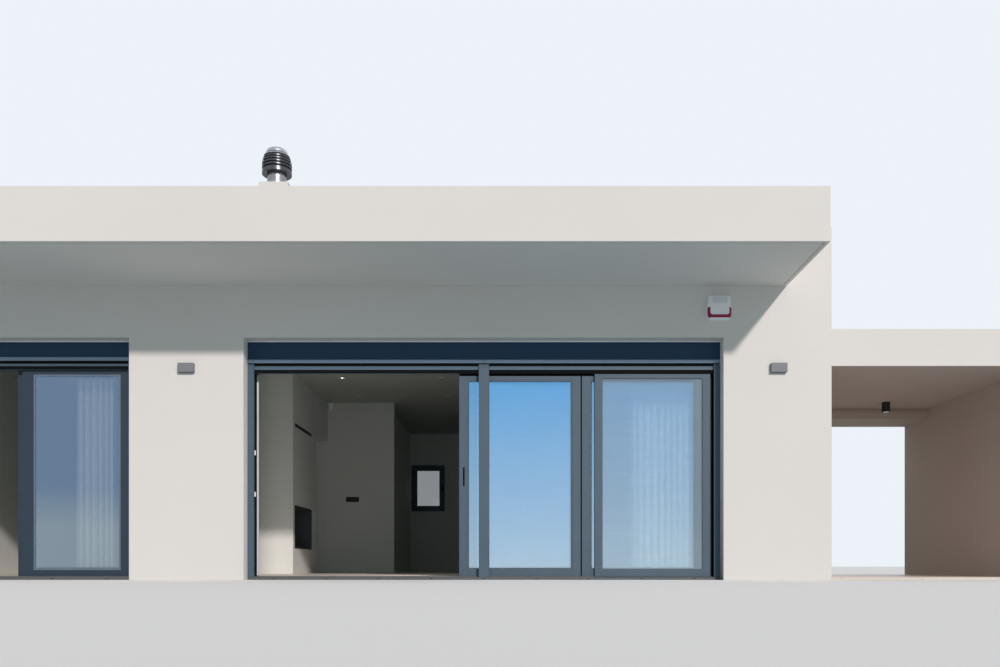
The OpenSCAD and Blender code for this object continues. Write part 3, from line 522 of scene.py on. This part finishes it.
# The heads are given a lighter copy of the anthracite coat: painted light on the head's trim.
lit_head_coat = finish("head_coat_painted_light", powder_coat, colour=(0.075, 0.125, 0.172), gloss=0.5)
LEAVES = (
    "outer_left_sash", "inner_left_sash", "inner_right_sash", "outer_right_sash", "screen_frame",
    "bedroom_outer_sash", "bedroom_inner_sash", "back_window_frames", "back_door",
)
SHARP_METAL = (
    "door_sills", "door_jambs", "door_heads", "shutter_guides", "shutter_boxes",
    "shutter_end_slats", *LEAVES, "fireplace_frame", "wall_lamps",
)
ROLLED_R, ROLL_STEPS, ROLLED_OVER = 0.0012, 2, math.radians(40)
for node in SHARP_METAL:
    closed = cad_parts[node].modifiers.new("joined_faces", "WELD")
    closed.merge_threshold = TOUCH
    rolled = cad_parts[node].modifiers.new("rolled_edges", "BEVEL")
    rolled.width, rolled.segments, rolled.limit_method = ROLLED_R, ROLL_STEPS, "ANGLE"
    rolled.angle_limit, rolled.harden_normals = ROLLED_OVER, True
dress(anthracite, "door_jambs", "shutter_guides", *LEAVES)
dress(sill_grey, "door_sills")
dress(lit_head_coat, "door_heads")
dress(shutter_blue, "shutter_boxes")
dress(slat_blue, "shutter_end_slats")


def soft_black(place):
    """Black rubber, brush pile and plastic with a dull skin."""
    return surface(place, {
        "Base Color": blend(cloud(place, 40.0), (0.004, 0.004, 0.005), (0.008, 0.008, 0.009)),
        "Roughness": cloud(place, 200.0) * 0.2 + 0.75,
        "Specular IOR Level": 0.08,
    })


def solids_in(node):
    """The lowest and highest corners of each separate solid in a CAD node, left to right."""
    whole = solid_of(node)
    left, boxes = set(whole.verts), []
    while left:
        found, edge = set(), [left.pop()]
        while edge:
            corner = edge.pop()
            found.add(corner)
            near = {link.other_vert(corner) for link in corner.link_edges} & left
            left -= near
            edge += near
        spots = [corner.co.copy() for corner in found]
        boxes.append(tuple(
            Vector(pick(spot[i] for spot in spots) for i in range(3)) for pick in (min, max)
        ))
    whole.free()
    return sorted(boxes, key=lambda box: tuple(box[0]))


rubber = finish("black_rubber", soft_black)
PILE, HAIR = 0.002, 0.0008
TRIM_DROP, TRIM_DEEP, TRIM_TALLS = 0.071, 0.004, (0.026, 0.040)
JAMB, SEAL_ROWS, SEAL_BACK, SEAL_FOOT, SEAL_TOP = 0.057, 4, 0.005, 0.015, 0.026
guides = solids_in("shutter_guides")
slats = solids_in("shutter_end_slats")
jambs = solids_in("door_jambs")
living_jamb = jambs[2]
track_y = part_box("outer_left_sash")[0].y
# Black strips in the shaded recesses and jamb channels: painted shade, partly real brush seals.
shade_strips = bmesh.new()
for (head_low, head_high), trim_tall in zip(solids_in("door_heads"), TRIM_TALLS):
    lip_y = head_low.y + TRIM_DEEP
    trim_top = head_high.z - TRIM_DROP
    slat_low = min(low.z for low, high in slats if head_low.x < low.x < head_high.x)
    own = [box for box in guides if head_low.x - AIR < box[0].x < head_high.x]
    for left, right in zip(own, own[1:]):
        for z0, z1 in ((head_low.z, trim_top - trim_tall), (trim_top, slat_low)):
            add_block(shade_strips, (left[1].x + AIR, lip_y - PILE, z0 + AIR),
                      (right[0].x - AIR, lip_y, z1 - AIR))
for i, (low, high) in enumerate(jambs):
    seal_x = low.x + JAMB if i % 2 == 0 else high.x - JAMB - PILE
    row = (high.y - SEAL_BACK - track_y) / SEAL_ROWS
    for j in range(SEAL_ROWS):
        y0 = track_y + j * row
        add_block(shade_strips, (seal_x, y0 + AIR, low.z + SEAL_FOOT),
                  (seal_x + PILE, y0 + row - AIR, high.z - SEAL_TOP))
piece("brush_strips_painted_shade", "house", [rubber], shade_strips, smooth=False)

# Thin pale sheets on the boxes' top flange and on the lip of the living room's left jamb paint the
# light that catches these edges: painted highlights.
flange_highlight_coat = finish("pale_coat_painted_highlight", powder_coat, colour=(0.62, 0.68, 0.72), gloss=0.4)
lip_highlight_coat = finish("white_coat_painted_highlight", powder_coat, colour=(0.83, 0.84, 0.84), gloss=0.5)
FLANGE, LIP_THICK, LIP_WIDE = 0.016, 0.005, 0.020
LIP_IN, LIP_FOOT, LIP_TOP = 0.0025, 0.02, 0.03
highlight_sheets = bmesh.new()
for low, high in solids_in("shutter_boxes"):
    add_block(highlight_sheets, (low.x + AIR, low.y - HAIR, high.z - FLANGE),
              (high.x - AIR, low.y, high.z - AIR), finish_index=1)
low, high = living_jamb
lip_x, lip_front = low.x + JAMB + LIP_IN, high.y - LIP_THICK
add_block(highlight_sheets, (lip_x, lip_front - HAIR, low.z + LIP_FOOT),
          (lip_x + LIP_WIDE, lip_front, high.z - LIP_TOP))
piece("painted_highlight_flanges", "house", [flange_highlight_coat, lip_highlight_coat], highlight_sheets, smooth=False)

# Slots in the front of each sill let the rain out of the tracks.
WEEP_PITCH, WEEP_WIDE, WEEP_TALL, WEEP_Z = 0.6, 0.03, 0.005, 0.010
weeps = bmesh.new()
for low, high in solids_in("door_sills"):
    count = round((high.x - low.x) / WEEP_PITCH)
    for i in range(count):
        x = low.x + (i + 0.5) * (high.x - low.x) / count
        add_block(weeps, (x - WEEP_WIDE / 2, low.y - HAIR / 4, WEEP_Z),
                  (x + WEEP_WIDE / 2, low.y + HAIR, WEEP_Z + WEEP_TALL))
piece("weep_slots", "house", [rubber], weeps, smooth=False)


# Sashes: aluminium frames with a fine joint where each rail meets its stiles. They hold two
# sheets of glass, kept apart by a spacer, in rubber gaskets. The outer sheet is coated and
# mirrors the sky; its blue tint, paler lower down and duller in the bedroom, is a painted
# reflection of the sky. The bedroom's frames are darker, painted shade, and its beads are
# lighter, a painted highlight. Across the top of the living room's sashes a black strip
# paints the shade that the head casts.
def coated_glass(place, top, low, mirror, turn_z, turn_tall):
    """Solar-control glass: a tinted mirror that lets part of the light through.

    Its tint, a painted reflection of the sky that pales lower down, goes from low to top round the
    height turn_z, over a belt of turn_tall.
    """
    height = distance(place, "Z") - turn_z + cloud(place, 0.8) * 0.3 - 0.15
    return surface(place, {
        "Base Color": blend(height * (1 / turn_tall) + 0.5, low, top),
        "Metallic": 1.0,
        "Roughness": 0.015,
        "Alpha": mirror,
    })


def clear_glass(place, haze):
    """Plain float glass: nearly nothing but its gloss, and the faint marks of cleaning."""
    wipes = cloud(place, 3.0, 4.0, (1, 1, 0.3))
    return surface(place, {
        "Base Color": (0.10, 0.14, 0.13, 1),
        "Roughness": wipes * 0.04,
        "Alpha": wipes * 0.04 + haze,
    })


def add_ring(shape, low, high, width, deep, finish_index=0):
    """Adds an upright rectangular ring: four bars in the plane of a wall."""
    for z0, z1 in ((low.z, low.z + width), (high.z - width, high.z)):
        add_block(shape, (low.x, deep[0], z0), (high.x, deep[1], z1), finish_index)
    for x0, x1 in ((low.x, low.x + width), (high.x - width, high.x)):
        add_block(shape, (x0, deep[0], low.z + width), (x1, deep[1], high.z - width), finish_index)


# Painted sky reflections: blue at the top, paler lower down, and duller in the bedroom.
living_sky_painted_glass = finish(
    "living_glass_painted_sky", coated_glass, top=(0.22, 0.585, 1.0), low=(0.655, 0.85, 1.0), mirror=0.62,
    turn_z=1.18, turn_tall=2.1
)
bedroom_sky_painted_glass = finish(
    "bedroom_glass_painted_sky", coated_glass, top=(0.212, 0.308, 0.447), low=(0.352, 0.435, 0.497),
    mirror=0.72, turn_z=0.80, turn_tall=0.5
)
plain_glass = finish("plain_glass", clear_glass, haze=0.02)
# The back windows' glass is hazed dark to 70 percent: it paints the shaded wall seen behind them.
shaded_view_glass = finish("shaded_view_glass", clear_glass, haze=0.70)
# A lighter copy of the frame coat on the bedroom's beads and outer gaskets: a painted highlight along
# the bead.
bead_highlight_coat = finish("bead_highlight_coat", powder_coat, colour=(0.11, 0.16, 0.21), gloss=0.5)
# A darker copy of the anthracite coat for the bedroom's sashes: painted shade.
bedroom_shaded_coat = finish("bedroom_shaded_coat", powder_coat, colour=(0.010, 0.026, 0.047), gloss=0.5)
dress(bedroom_shaded_coat, "bedroom_outer_sash", "bedroom_inner_sash")
COATED_FACE, CLEAR_FACE, RUBBER_RING, BEAD_HIGHLIGHT_RING = range(4)
SHEET, SPACER, GASKET, PROUD = 0.006, 0.014, 0.004, 0.0015


def double_glazing(name, node, body, outer, inner, face_ring=RUBBER_RING):
    """Sealed units: coated face, clear face, the spacer between and gaskets on both."""
    glazing = bmesh.new()
    for low, high in solids_in(node):
        sides = add_block(glazing, low, high, RUBBER_RING)
        sides["front"].material_index, sides["back"].material_index = COATED_FACE, CLEAR_FACE
        add_ring(glazing, low, high, SPACER, (low.y + SHEET, high.y - SHEET), RUBBER_RING)
        add_ring(glazing, low, high, GASKET, (low.y - PROUD, low.y), face_ring)
        add_ring(glazing, low, high, GASKET, (high.y, high.y + PROUD), RUBBER_RING)
    made = piece(name, body, [outer, inner, rubber, bead_highlight_coat], glazing, smooth=False)
    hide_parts(node)


BEAD, BEAD_DEEP, TOP_SHADE_STRIP = 0.018, (0.001, 0.004), 0.055
JOINT_IN, JOINT_OFF = 0.002, 0.019
for leaf in (
    "outer_left", "inner_left", "inner_right", "outer_right", "bedroom_outer", "bedroom_inner"
):
    body = "house" if leaf == "inner_right" else leaf
    in_bedroom = leaf.startswith("bedroom")
    coating = plain_glass if leaf == "bedroom_inner" else bedroom_sky_painted_glass if in_bedroom else living_sky_painted_glass
    double_glazing(
        leaf + "_glazing", leaf + "_glass", body, coating, plain_glass,
        BEAD_HIGHLIGHT_RING if in_bedroom else RUBBER_RING
    )
    low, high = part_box(leaf + "_sash")
    pane_low, pane_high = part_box(leaf + "_glass")
    rails = ((low.z + JOINT_IN, pane_low.z - JOINT_OFF), (pane_high.z + JOINT_OFF, high.z - JOINT_IN))
    fittings = bmesh.new()
    for y0, y1 in ((low.y - HAIR / 4, low.y + HAIR), (high.y - HAIR, high.y + HAIR / 4)):
        for x in (pane_low.x, pane_high.x):
            for z0, z1 in rails:
                add_block(fittings, (x - HAIR / 2, y0, z0), (x + HAIR / 2, y1, z1))
    if in_bedroom:
        reach = Vector((BEAD - AIR, 0, BEAD - AIR))
        deep = [low.y + inwards for inwards in BEAD_DEEP]
        add_ring(fittings, pane_low - reach, pane_high + reach, BEAD - 2 * AIR, deep, 1)
    else:
        # A black strip across the sash's top paints the shade cast by the head.
        add_block(fittings, (low.x, low.y - PROUD, high.z - TOP_SHADE_STRIP),
                  (high.x, low.y, high.z - AIR))
    piece(leaf + "_fittings", body, [rubber, bead_highlight_coat], fittings, smooth=False)


# Handle of the living-room doors: a flat black pull. On the left jamb, in the gap between
# the screen's track and the outer track, stand the two white keepers of its lock.
def moulded_plastic(place, colour):
    """Injection-moulded plastic with a fine spark-eroded grain."""
    return surface(place, {
        "Base Color": blend(cloud(place, 12.0, 3.0), colour, [channel * 0.93 for channel in colour]),
        "Roughness": cloud(place, 700.0) * 0.15 + 0.38,
        "Normal": rough(cloud(place, 1500.0), depth=0.00005),
    })


dress(rubber, "outer_left_handle")
white_plastic = finish("white_plastic", moulded_plastic, colour=(0.95, 0.97, 1.0))
KEEPER_HEIGHTS, KEEPER_REACH, KEEPER_TALL, KEEPER_R = (0.960, 1.426), 0.018, 0.052, 0.002
screen_low, screen_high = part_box("screen_frame")
keepers = bmesh.new()
face_x = living_jamb[0].x + JAMB
for z in KEEPER_HEIGHTS:
    add_block(keepers, (face_x, screen_high.y + AIR, z - KEEPER_TALL / 2),
              (face_x + KEEPER_REACH, track_y - AIR, z + KEEPER_TALL / 2))
round_corners(keepers, KEEPER_R)
piece("lock_keepers", "house", [white_plastic], keepers)


# Insect screen: grey glass-fibre mesh stretched in its own sliding frame. A black strip
# along its top paints the shade that the head casts.
def insect_mesh(place, dusty_below):
    """Woven mesh, fine enough to read as a veil that hangs unevenly, dusty near its foot."""
    veil = cloud(place, 1.3, 3.0, (1, 1, 0.6)) * 0.5 + cloud(place, 22.0, 3.0, (0.12, 1, 1)) * 0.5
    dust = (dusty_below - distance(place, "Z")).maths("MAXIMUM", 0.0) * 0.9
    return surface(place, {
        "Base Color": blend(veil * 1.2 - 0.3 + dust, (0.38, 0.52, 0.65), (0.52, 0.67, 0.76)),
        "Roughness": 0.8,
        "Alpha": 0.4,
    })


mesh_low, mesh_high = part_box("screen_mesh")
mesh_y = (mesh_low.y + mesh_high.y) / 2
net = bmesh.new()
net.faces.new([net.verts.new((x, mesh_y, z)) for x, z in (
    (mesh_low.x, mesh_low.z), (mesh_high.x, mesh_low.z),
    (mesh_high.x, mesh_high.z), (mesh_low.x, mesh_high.z),
)])
glass_fibre = finish("insect_mesh", insect_mesh, dusty_below=0.9)
screen_net = piece("screen_net", "screen", [glass_fibre], net)
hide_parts("screen_mesh")
# Black strip along the screen's top: painted shade of the head.
SCREEN_TOP_SHADE = 0.039
screen_top_shade = bmesh.new()
add_block(screen_top_shade, (screen_low.x, screen_low.y - PROUD, screen_high.z - SCREEN_TOP_SHADE),
          (screen_high.x, screen_low.y, screen_high.z - AIR))
piece("screen_top_shade", "screen", [rubber], screen_top_shade, smooth=False)


# Back of the house: windows and door in the same aluminium, with lever handles inside
# on the windows and on both faces of the door, and barrel hinges outside.
def add_bar(shape, start, end, radius, sides=12, finish_index=0):
    """Adds a round bar with closed ends between two points."""
    along = end - start
    made = bmesh.ops.create_cone(
        shape, cap_ends=True, segments=sides, radius1=radius, radius2=radius, depth=along.length
    )
    turn = along.to_track_quat("Z", "Y").to_matrix()
    bmesh.ops.rotate(shape, verts=made["verts"], matrix=turn)
    bmesh.ops.translate(shape, verts=made["verts"], vec=(start + end) / 2)
    for corner in made["verts"]:
        for face in corner.link_faces:
            face.material_index = finish_index


LEVER_R, LEVER_OUT, LEVER_LONG, ROSE_R, ROSE_THICK = 0.009, 0.05, 0.12, 0.026, 0.008


def add_lever(shape, spot, outwards, along):
    """Adds a lever handle: a rose on the frame, a neck and a bar that points along."""
    neck = spot + Vector((0, outwards * LEVER_OUT, 0))
    add_bar(shape, spot, spot + Vector((0, outwards * ROSE_THICK, 0)), ROSE_R, sides=24)
    add_bar(shape, spot, neck, LEVER_R)
    add_bar(shape, neck, neck + along * LEVER_LONG, LEVER_R)


double_glazing("back_window_glazing", "back_window_panes", "house", shaded_view_glass, plain_glass)
DOWN, LEFT, UP = Vector((0, 0, -1)), Vector((-1, 0, 0)), Vector((0, 0, 1))
WINDOW_GRIP, DOOR_BAR, DOOR_REST, DOOR_GRIP, LEVER_Z = 0.0594, 0.04, 0.008, 0.06, 1.05
HINGE_HEIGHTS, HINGE_LONG, HINGE_R, HINGE_OUT = (0.25, 1.2, 2.1), 0.09, 0.008, 0.004
levers = bmesh.new()
for low, high in solids_in("back_window_frames"):
    grip = Vector((high.x - WINDOW_GRIP, low.y, (low.z + high.z) / 2))
    add_lever(levers, grip, -1, DOWN)
door_low, door_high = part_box("back_door")
for y, outwards in ((door_low.y + DOOR_REST, -1), (door_high.y - DOOR_REST, 1)):
    grip = Vector((door_high.x - DOOR_BAR - DOOR_GRIP, y, LEVER_Z))
    add_lever(levers, grip, outwards, LEFT)
for z in HINGE_HEIGHTS:
    hinge = Vector((door_low.x + DOOR_BAR, door_high.y + HINGE_OUT, z))
    add_bar(levers, hinge, hinge + UP * HINGE_LONG, HINGE_R)
piece("back_levers", "house", [black_steel], levers)


# Lamps: grey box lamps that shine up and down through frosted glass, white recessed
# lamps with black baffles, one of them lit, and a black spot lamp under the veranda roof.
def lit_lens(place):
    """Frosted lens of a lamp that is on."""
    return surface(place, {
        "Base Color": blend(cloud(place, 300.0), (0.9, 0.9, 0.88), (0.8, 0.8, 0.78)),
        "Emission Color": (1.0, 0.96, 0.88, 1),
        "Emission Strength": 3.0,
    })


def spun_aluminium(place):
    """Bright reflector, spun on a lathe."""
    return surface(place, {
        "Base Color": blend(cloud(place, 30.0), (0.75, 0.75, 0.76), (0.55, 0.55, 0.56)),
        "Metallic": 1.0,
        "Roughness": cloud(place, 120.0) * 0.1 + 0.18,
    })


def shaded_frosted_glass(place):
    """Acid-etched glass of a lamp that is off, with a film of dust. Its near-black colour paints the
    shade inside the lamp.
    """
    dust = cloud(place, 25.0, 3.0)
    return surface(place, {
        "Base Color": blend(dust, (0.035, 0.040, 0.045), (0.065, 0.070, 0.072)),
        "Roughness": dust * 0.15 + 0.4,
    })


lamp_grey = finish("lamp_coat", powder_coat, colour=(0.19, 0.202, 0.226), gloss=0.4)
white_gloss = finish("white_lacquer", powder_coat, colour=(0.78, 0.78, 0.77), gloss=0.6)
shaded_etched = finish("shaded_frosted_glass", shaded_frosted_glass)
dress(lamp_grey, "wall_lamps")
dress(black_steel, "veranda_spot")
dress(white_gloss, "downlights", "curtain_rails")

LAMP_WALL, GLASS_IN, GLASS_THICK = 0.0042, 0.008, 0.004
lamp_glasses = bmesh.new()
for low, high in solids_in("wall_lamps"):
    for z in (low.z + GLASS_IN, high.z - GLASS_IN - GLASS_THICK):
        add_block(lamp_glasses, (low.x + LAMP_WALL, low.y + LAMP_WALL, z),
                  (high.x - LAMP_WALL, high.y - LAMP_WALL, z + GLASS_THICK))
piece("lamp_glasses", "house", [shaded_etched], lamp_glasses, smooth=False)

BAFFLE_SIDES, BAFFLE_DEEP, LENS_R, LIT_LAMP = 32, 0.024, 0.013, 1
BAFFLE = ((0.034, AIR), (0.0272, BAFFLE_DEEP), (0.002, BAFFLE_DEEP))
baffles = bmesh.new()
lamps = solids_in("downlights")
for low, high in lamps:
    spin_round(baffles, foot_of(low, high), BAFFLE, sides=BAFFLE_SIDES)
lamps.sort(key=lambda box: (round(box[0].x, 2), round(box[0].y, 2)))
lit_foot = foot_of(*lamps[LIT_LAMP])
add_bar(baffles, lit_foot + UP * AIR, lit_foot + UP * BAFFLE_DEEP, LENS_R, BAFFLE_SIDES, 1)
piece("lamp_baffles", "house", [rubber, finish("lit_lens", lit_lens)], baffles)

REFLECTOR_SHARE, REFLECTOR_LOW, REFLECTOR_HIGH, REFLECTOR_SIDES = 0.72, 0.003, 0.010, 40
spot_low, spot_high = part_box("veranda_spot")
spot_foot = foot_of(spot_low, spot_high)
reflector_r = (spot_high.x - spot_low.x) / 2 * REFLECTOR_SHARE
spot_parts = bmesh.new()
add_bar(spot_parts, spot_foot + UP * REFLECTOR_LOW, spot_foot + UP * REFLECTOR_HIGH, reflector_r,
        REFLECTOR_SIDES)
piece("spot_reflector", "house", [finish("reflector", spun_aluminium)], spot_parts)


# Small fittings: the white plastic alarm sounder with its red lens, and on the service
# wall a motion sensor with rounded corners and a black plate of three switches.
dress(white_plastic, "alarm_sounder")
dress(finish("red_lens", moulded_plastic, colour=(0.26, 0.001, 0.045)), "sounder_lens")

service_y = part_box("service_wall")[0].y
SENSOR_X, SENSOR_Z, SENSOR_WIDE, SENSOR_TALL, SENSOR_DEEP = -2.296, 2.860, 0.070, 0.130, 0.045
SENSOR_R, PANEL_IN, PANEL_LOW, PANEL_TOP = 0.018, 0.015, 0.02, 0.07
PANEL_OUT, PANEL_SUNK = 0.003, 0.002
sensor_front = service_y - SENSOR_DEEP
sensor = bmesh.new()
add_block(sensor, (SENSOR_X, sensor_front, SENSOR_Z),
          (SENSOR_X + SENSOR_WIDE, service_y, SENSOR_Z + SENSOR_TALL))
round_corners(sensor, SENSOR_R, steps=4)
add_block(sensor, (SENSOR_X + PANEL_IN, sensor_front - PANEL_OUT, SENSOR_Z + PANEL_LOW),
          (SENSOR_X + SENSOR_WIDE - PANEL_IN, sensor_front + PANEL_SUNK, SENSOR_Z + PANEL_TOP),
          finish_index=1)
piece("motion_sensor", "house", [white_plastic, white_gloss], sensor)

SWITCH_X, SWITCH_Z, SWITCH_WIDE, SWITCH_TALL, SWITCHES = -2.007, 1.271, 0.226, 0.087, 3
SWITCH_OUT, KEY_OUT, KEY_WIDE, KEY_IN, SWITCH_R = 0.008, 0.012, 0.058, 0.014, 0.0015
switches = bmesh.new()
add_block(switches, (SWITCH_X, service_y - SWITCH_OUT, SWITCH_Z),
          (SWITCH_X + SWITCH_WIDE, service_y, SWITCH_Z + SWITCH_TALL))
for i in range(SWITCHES):
    x = SWITCH_X + (i + 0.5) * SWITCH_WIDE / SWITCHES
    add_block(switches, (x - KEY_WIDE / 2, service_y - KEY_OUT, SWITCH_Z + KEY_IN),
              (x + KEY_WIDE / 2, service_y - SWITCH_OUT, SWITCH_Z + SWITCH_TALL - KEY_IN))
round_corners(switches, SWITCH_R)
piece("switch_plate", "house", [black_steel], switches)


# Curtains: sheer pale linen, gathered on runners under the ceiling rails, so that the
# folds are tight at the top and swing wider towards the hem.
def sheer_linen(place, rail_y, swing):
    """Open linen weave with slubs: light comes through it. Its fold valleys are painted darker than
    its crests: painted shade in the folds.
    """
    across, down = cloud(place, 60.0, 3.0, (1, 1, 0.08)), cloud(place, 60.0, 3.0, (0.08, 0.08, 1))
    slubs = across * 0.5 + down * 0.5
    # Painted shade: darker where the cloth lies deeper in a fold.
    painted_fold_shade = (distance(place, "Y") - rail_y) * (0.5 / swing) + 0.5
    return surface(place, {
        "Base Color": blend(slubs * 0.2 + painted_fold_shade - 0.1, (0.95, 0.94, 0.91), (0.42, 0.42, 0.40)),
        "Roughness": 0.9,
        "Sheen Weight": 0.3,
        "Alpha": 0.9,
        "Normal": rough(slubs, depth=0.0006),
    })


rail_low, rail_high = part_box("living_curtain")
linen = finish(
    "sheer_linen", sheer_linen, rail_y=(rail_low.y + rail_high.y) / 2,
    swing=(rail_high.y - rail_low.y) / 2
)
STEPS_A_FOLD, STEPS_DOWN, FOLD_SPARE, FOLD_LEAN = 16, 24, 0.002, 0.006
BUNCHING, SWAY, DEPTH_TOP, DEPTH_GAIN, DEPTH_VARIES = 0.11, 0.02, 0.62, 0.26, 0.12


def gathered_curtain(name, node, folds):
    """Cloth that runs to and fro along its rail, with folds of uneven width and depth."""
    low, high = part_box(node)
    middle_y, reach = (low.y + high.y) / 2, (high.y - low.y) / 2 - FOLD_SPARE
    across, down = folds * STEPS_A_FOLD, STEPS_DOWN

    def spot(i, j):
        along, drop = i / across, j / down
        bunching, sway = BUNCHING * math.sin(9.0 * along), SWAY * math.sin(5.0 * drop)
        phase = math.tau * (folds * along + bunching + sway)
        uneven = DEPTH_VARIES * math.sin(11.0 * along + 1.3 * drop)
        depth = reach * (DEPTH_TOP + DEPTH_GAIN * drop + uneven)
        lean = FOLD_LEAN * math.sin(phase * 2) * drop
        return Vector((
            low.x + (high.x - low.x) * (along + lean), middle_y + depth * math.sin(phase),
            high.z - (high.z - low.z) * drop
        ))

    cloth = bmesh.new()
    grid = [[cloth.verts.new(spot(i, j)) for i in range(across + 1)] for j in range(down + 1)]
    for upper, lower in zip(grid, grid[1:]):
        for i in range(across):
            cloth.faces.new((upper[i], lower[i], lower[i + 1], upper[i + 1]))
    made = piece(name, "house", [linen], cloth)
    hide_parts(node)


gathered_curtain("living_linen", "living_curtain", folds=9)
gathered_curtain("bedroom_linen", "bedroom_curtain", folds=7)


# Studio: a pale floor at ground level, soft light all round and one broad lamp high in front
# on the right, so that the canopy shades the wall under it. Weak fills stand behind the doors
# of both rooms, before the living room's curtain and at the side of the fireplace.
def seen_directly(wire):
    """One for what the lens sees straight, in a mirror or through glass, and zero for light."""
    straight, mirrored, through = (
        wire.node("ShaderNodeLightPath", {}, {}, kind)
        for kind in ("Is Camera Ray", "Is Glossy Ray", "Is Transmission Ray")
    )
    return straight.maths("MAXIMUM", mirrored).maths("MAXIMUM", through)


def pale_floor(place):
    """Even pale floor, which throws back a little less light than it shows."""
    shown = surface(place, {"Base Color": (0.97, 0.945, 0.94, 1), "Roughness": 0.9})
    thrown = surface(place, {"Base Color": (0.43, 0.50, 0.52, 1), "Roughness": 0.9})
    return place.node("ShaderNodeMixShader", {}, {0: seen_directly(place), 1: thrown, 2: shown})


FLOOR_HALF, FLOOR_UNDER = 900.0, 0.0005
floor_shape = bmesh.new()
bmesh.ops.create_grid(floor_shape, x_segments=1, y_segments=1, size=FLOOR_HALF)
studio_floor = plain_object("studio_floor", floor_shape)
studio_floor.location.z = -FLOOR_UNDER
studio_floor.data.materials.append(finish("studio_floor", pale_floor))
studio_floor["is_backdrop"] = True


def add_lamp(name, kind, energy, colour, direction, place=(0, 0, 0)):
    """Adds a lamp that shines along a direction."""
    data = bpy.data.lights.new(name, kind)
    data.energy, data.color = energy, colour
    lamp = bpy.data.objects.new(name, data)
    lamp.location = place
    lamp.rotation_euler = Vector(direction).to_track_quat("-Z", "Y").to_euler()
    bpy.context.scene.collection.objects.link(lamp)
    return lamp


def add_fill(name, energy, colour, direction, middle, wide, tall):
    """Adds a broad upright lamp that gives light but never shows."""
    fill = add_lamp(name, "AREA", energy, colour, direction, middle)
    fill.data.shape, fill.data.size, fill.data.size_y = "RECTANGLE", wide, tall
    fill.visible_camera = fill.visible_glossy = fill.visible_transmission = False


SUN_WAY, TO_BACK, TO_LEFT = (-0.594, 1.372, -0.745), (0, 1, 0), (-1, 0, 0)
WARM, COOL, ROSY = (1.0, 0.912, 0.872), (0.86, 1.0, 1.0), (1.0, 0.95, 0.95)
sun = add_lamp("soft_key", "SUN", energy=2.36, colour=WARM, direction=SUN_WAY)
sun.data.angle = math.radians(3)
FILL_IN, FILL_TALL, FILL_SHORT = 0.006, 2.2, 0.2
for (low, high), name, energy in zip(
    solids_in("door_heads"), ("bedroom_fill", "living_fill"), (6.0, 4.1)
):
    middle = ((low.x + high.x) / 2, high.y + FILL_IN, low.z - FILL_TALL / 2)
    add_fill(name, energy, COOL, TO_BACK, middle, high.x - low.x - FILL_SHORT, FILL_TALL)
CURTAIN_GAP, CURTAIN_FOOT, CURTAIN_TALL = 0.04, 0.1, 1.9
low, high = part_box("living_curtain")
middle = ((low.x + high.x) / 2, low.y - CURTAIN_GAP, CURTAIN_FOOT + CURTAIN_TALL / 2)
add_fill("curtain_fill", 6.0, COOL, TO_BACK, middle, high.x - low.x, CURTAIN_TALL)
SIDE_AWAY, SIDE_IN, SIDE_Z, SIDE_WIDE, SIDE_TALL = 2.2, 0.8, 0.7, 1.0, 0.9
middle = (fire_face + SIDE_AWAY, low.y + SIDE_IN, SIDE_Z)
add_fill("side_fill", 7.4, ROSY, TO_LEFT, middle, SIDE_WIDE, SIDE_TALL)

world = bpy.data.worlds.new("studio")
world.use_nodes = True
world.node_tree.nodes.clear()
sky = Wire(world.node_tree)
light = sky.node("ShaderNodeBackground", {}, {"Color": (0.82, 0.95, 1.0, 1), "Strength": 0.37})
backdrop = sky.node("ShaderNodeBackground", {}, {"Color": (0.84, 0.89, 0.94, 1), "Strength": 1.0})
sky.node("ShaderNodeOutputWorld", {}, {
    "Surface": sky.node("ShaderNodeMixShader", {}, {0: seen_directly(sky), 1: light, 2: backdrop})
})
bpy.context.scene.world = world
bpy.context.scene.view_settings.view_transform = "Standard"

low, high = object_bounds()
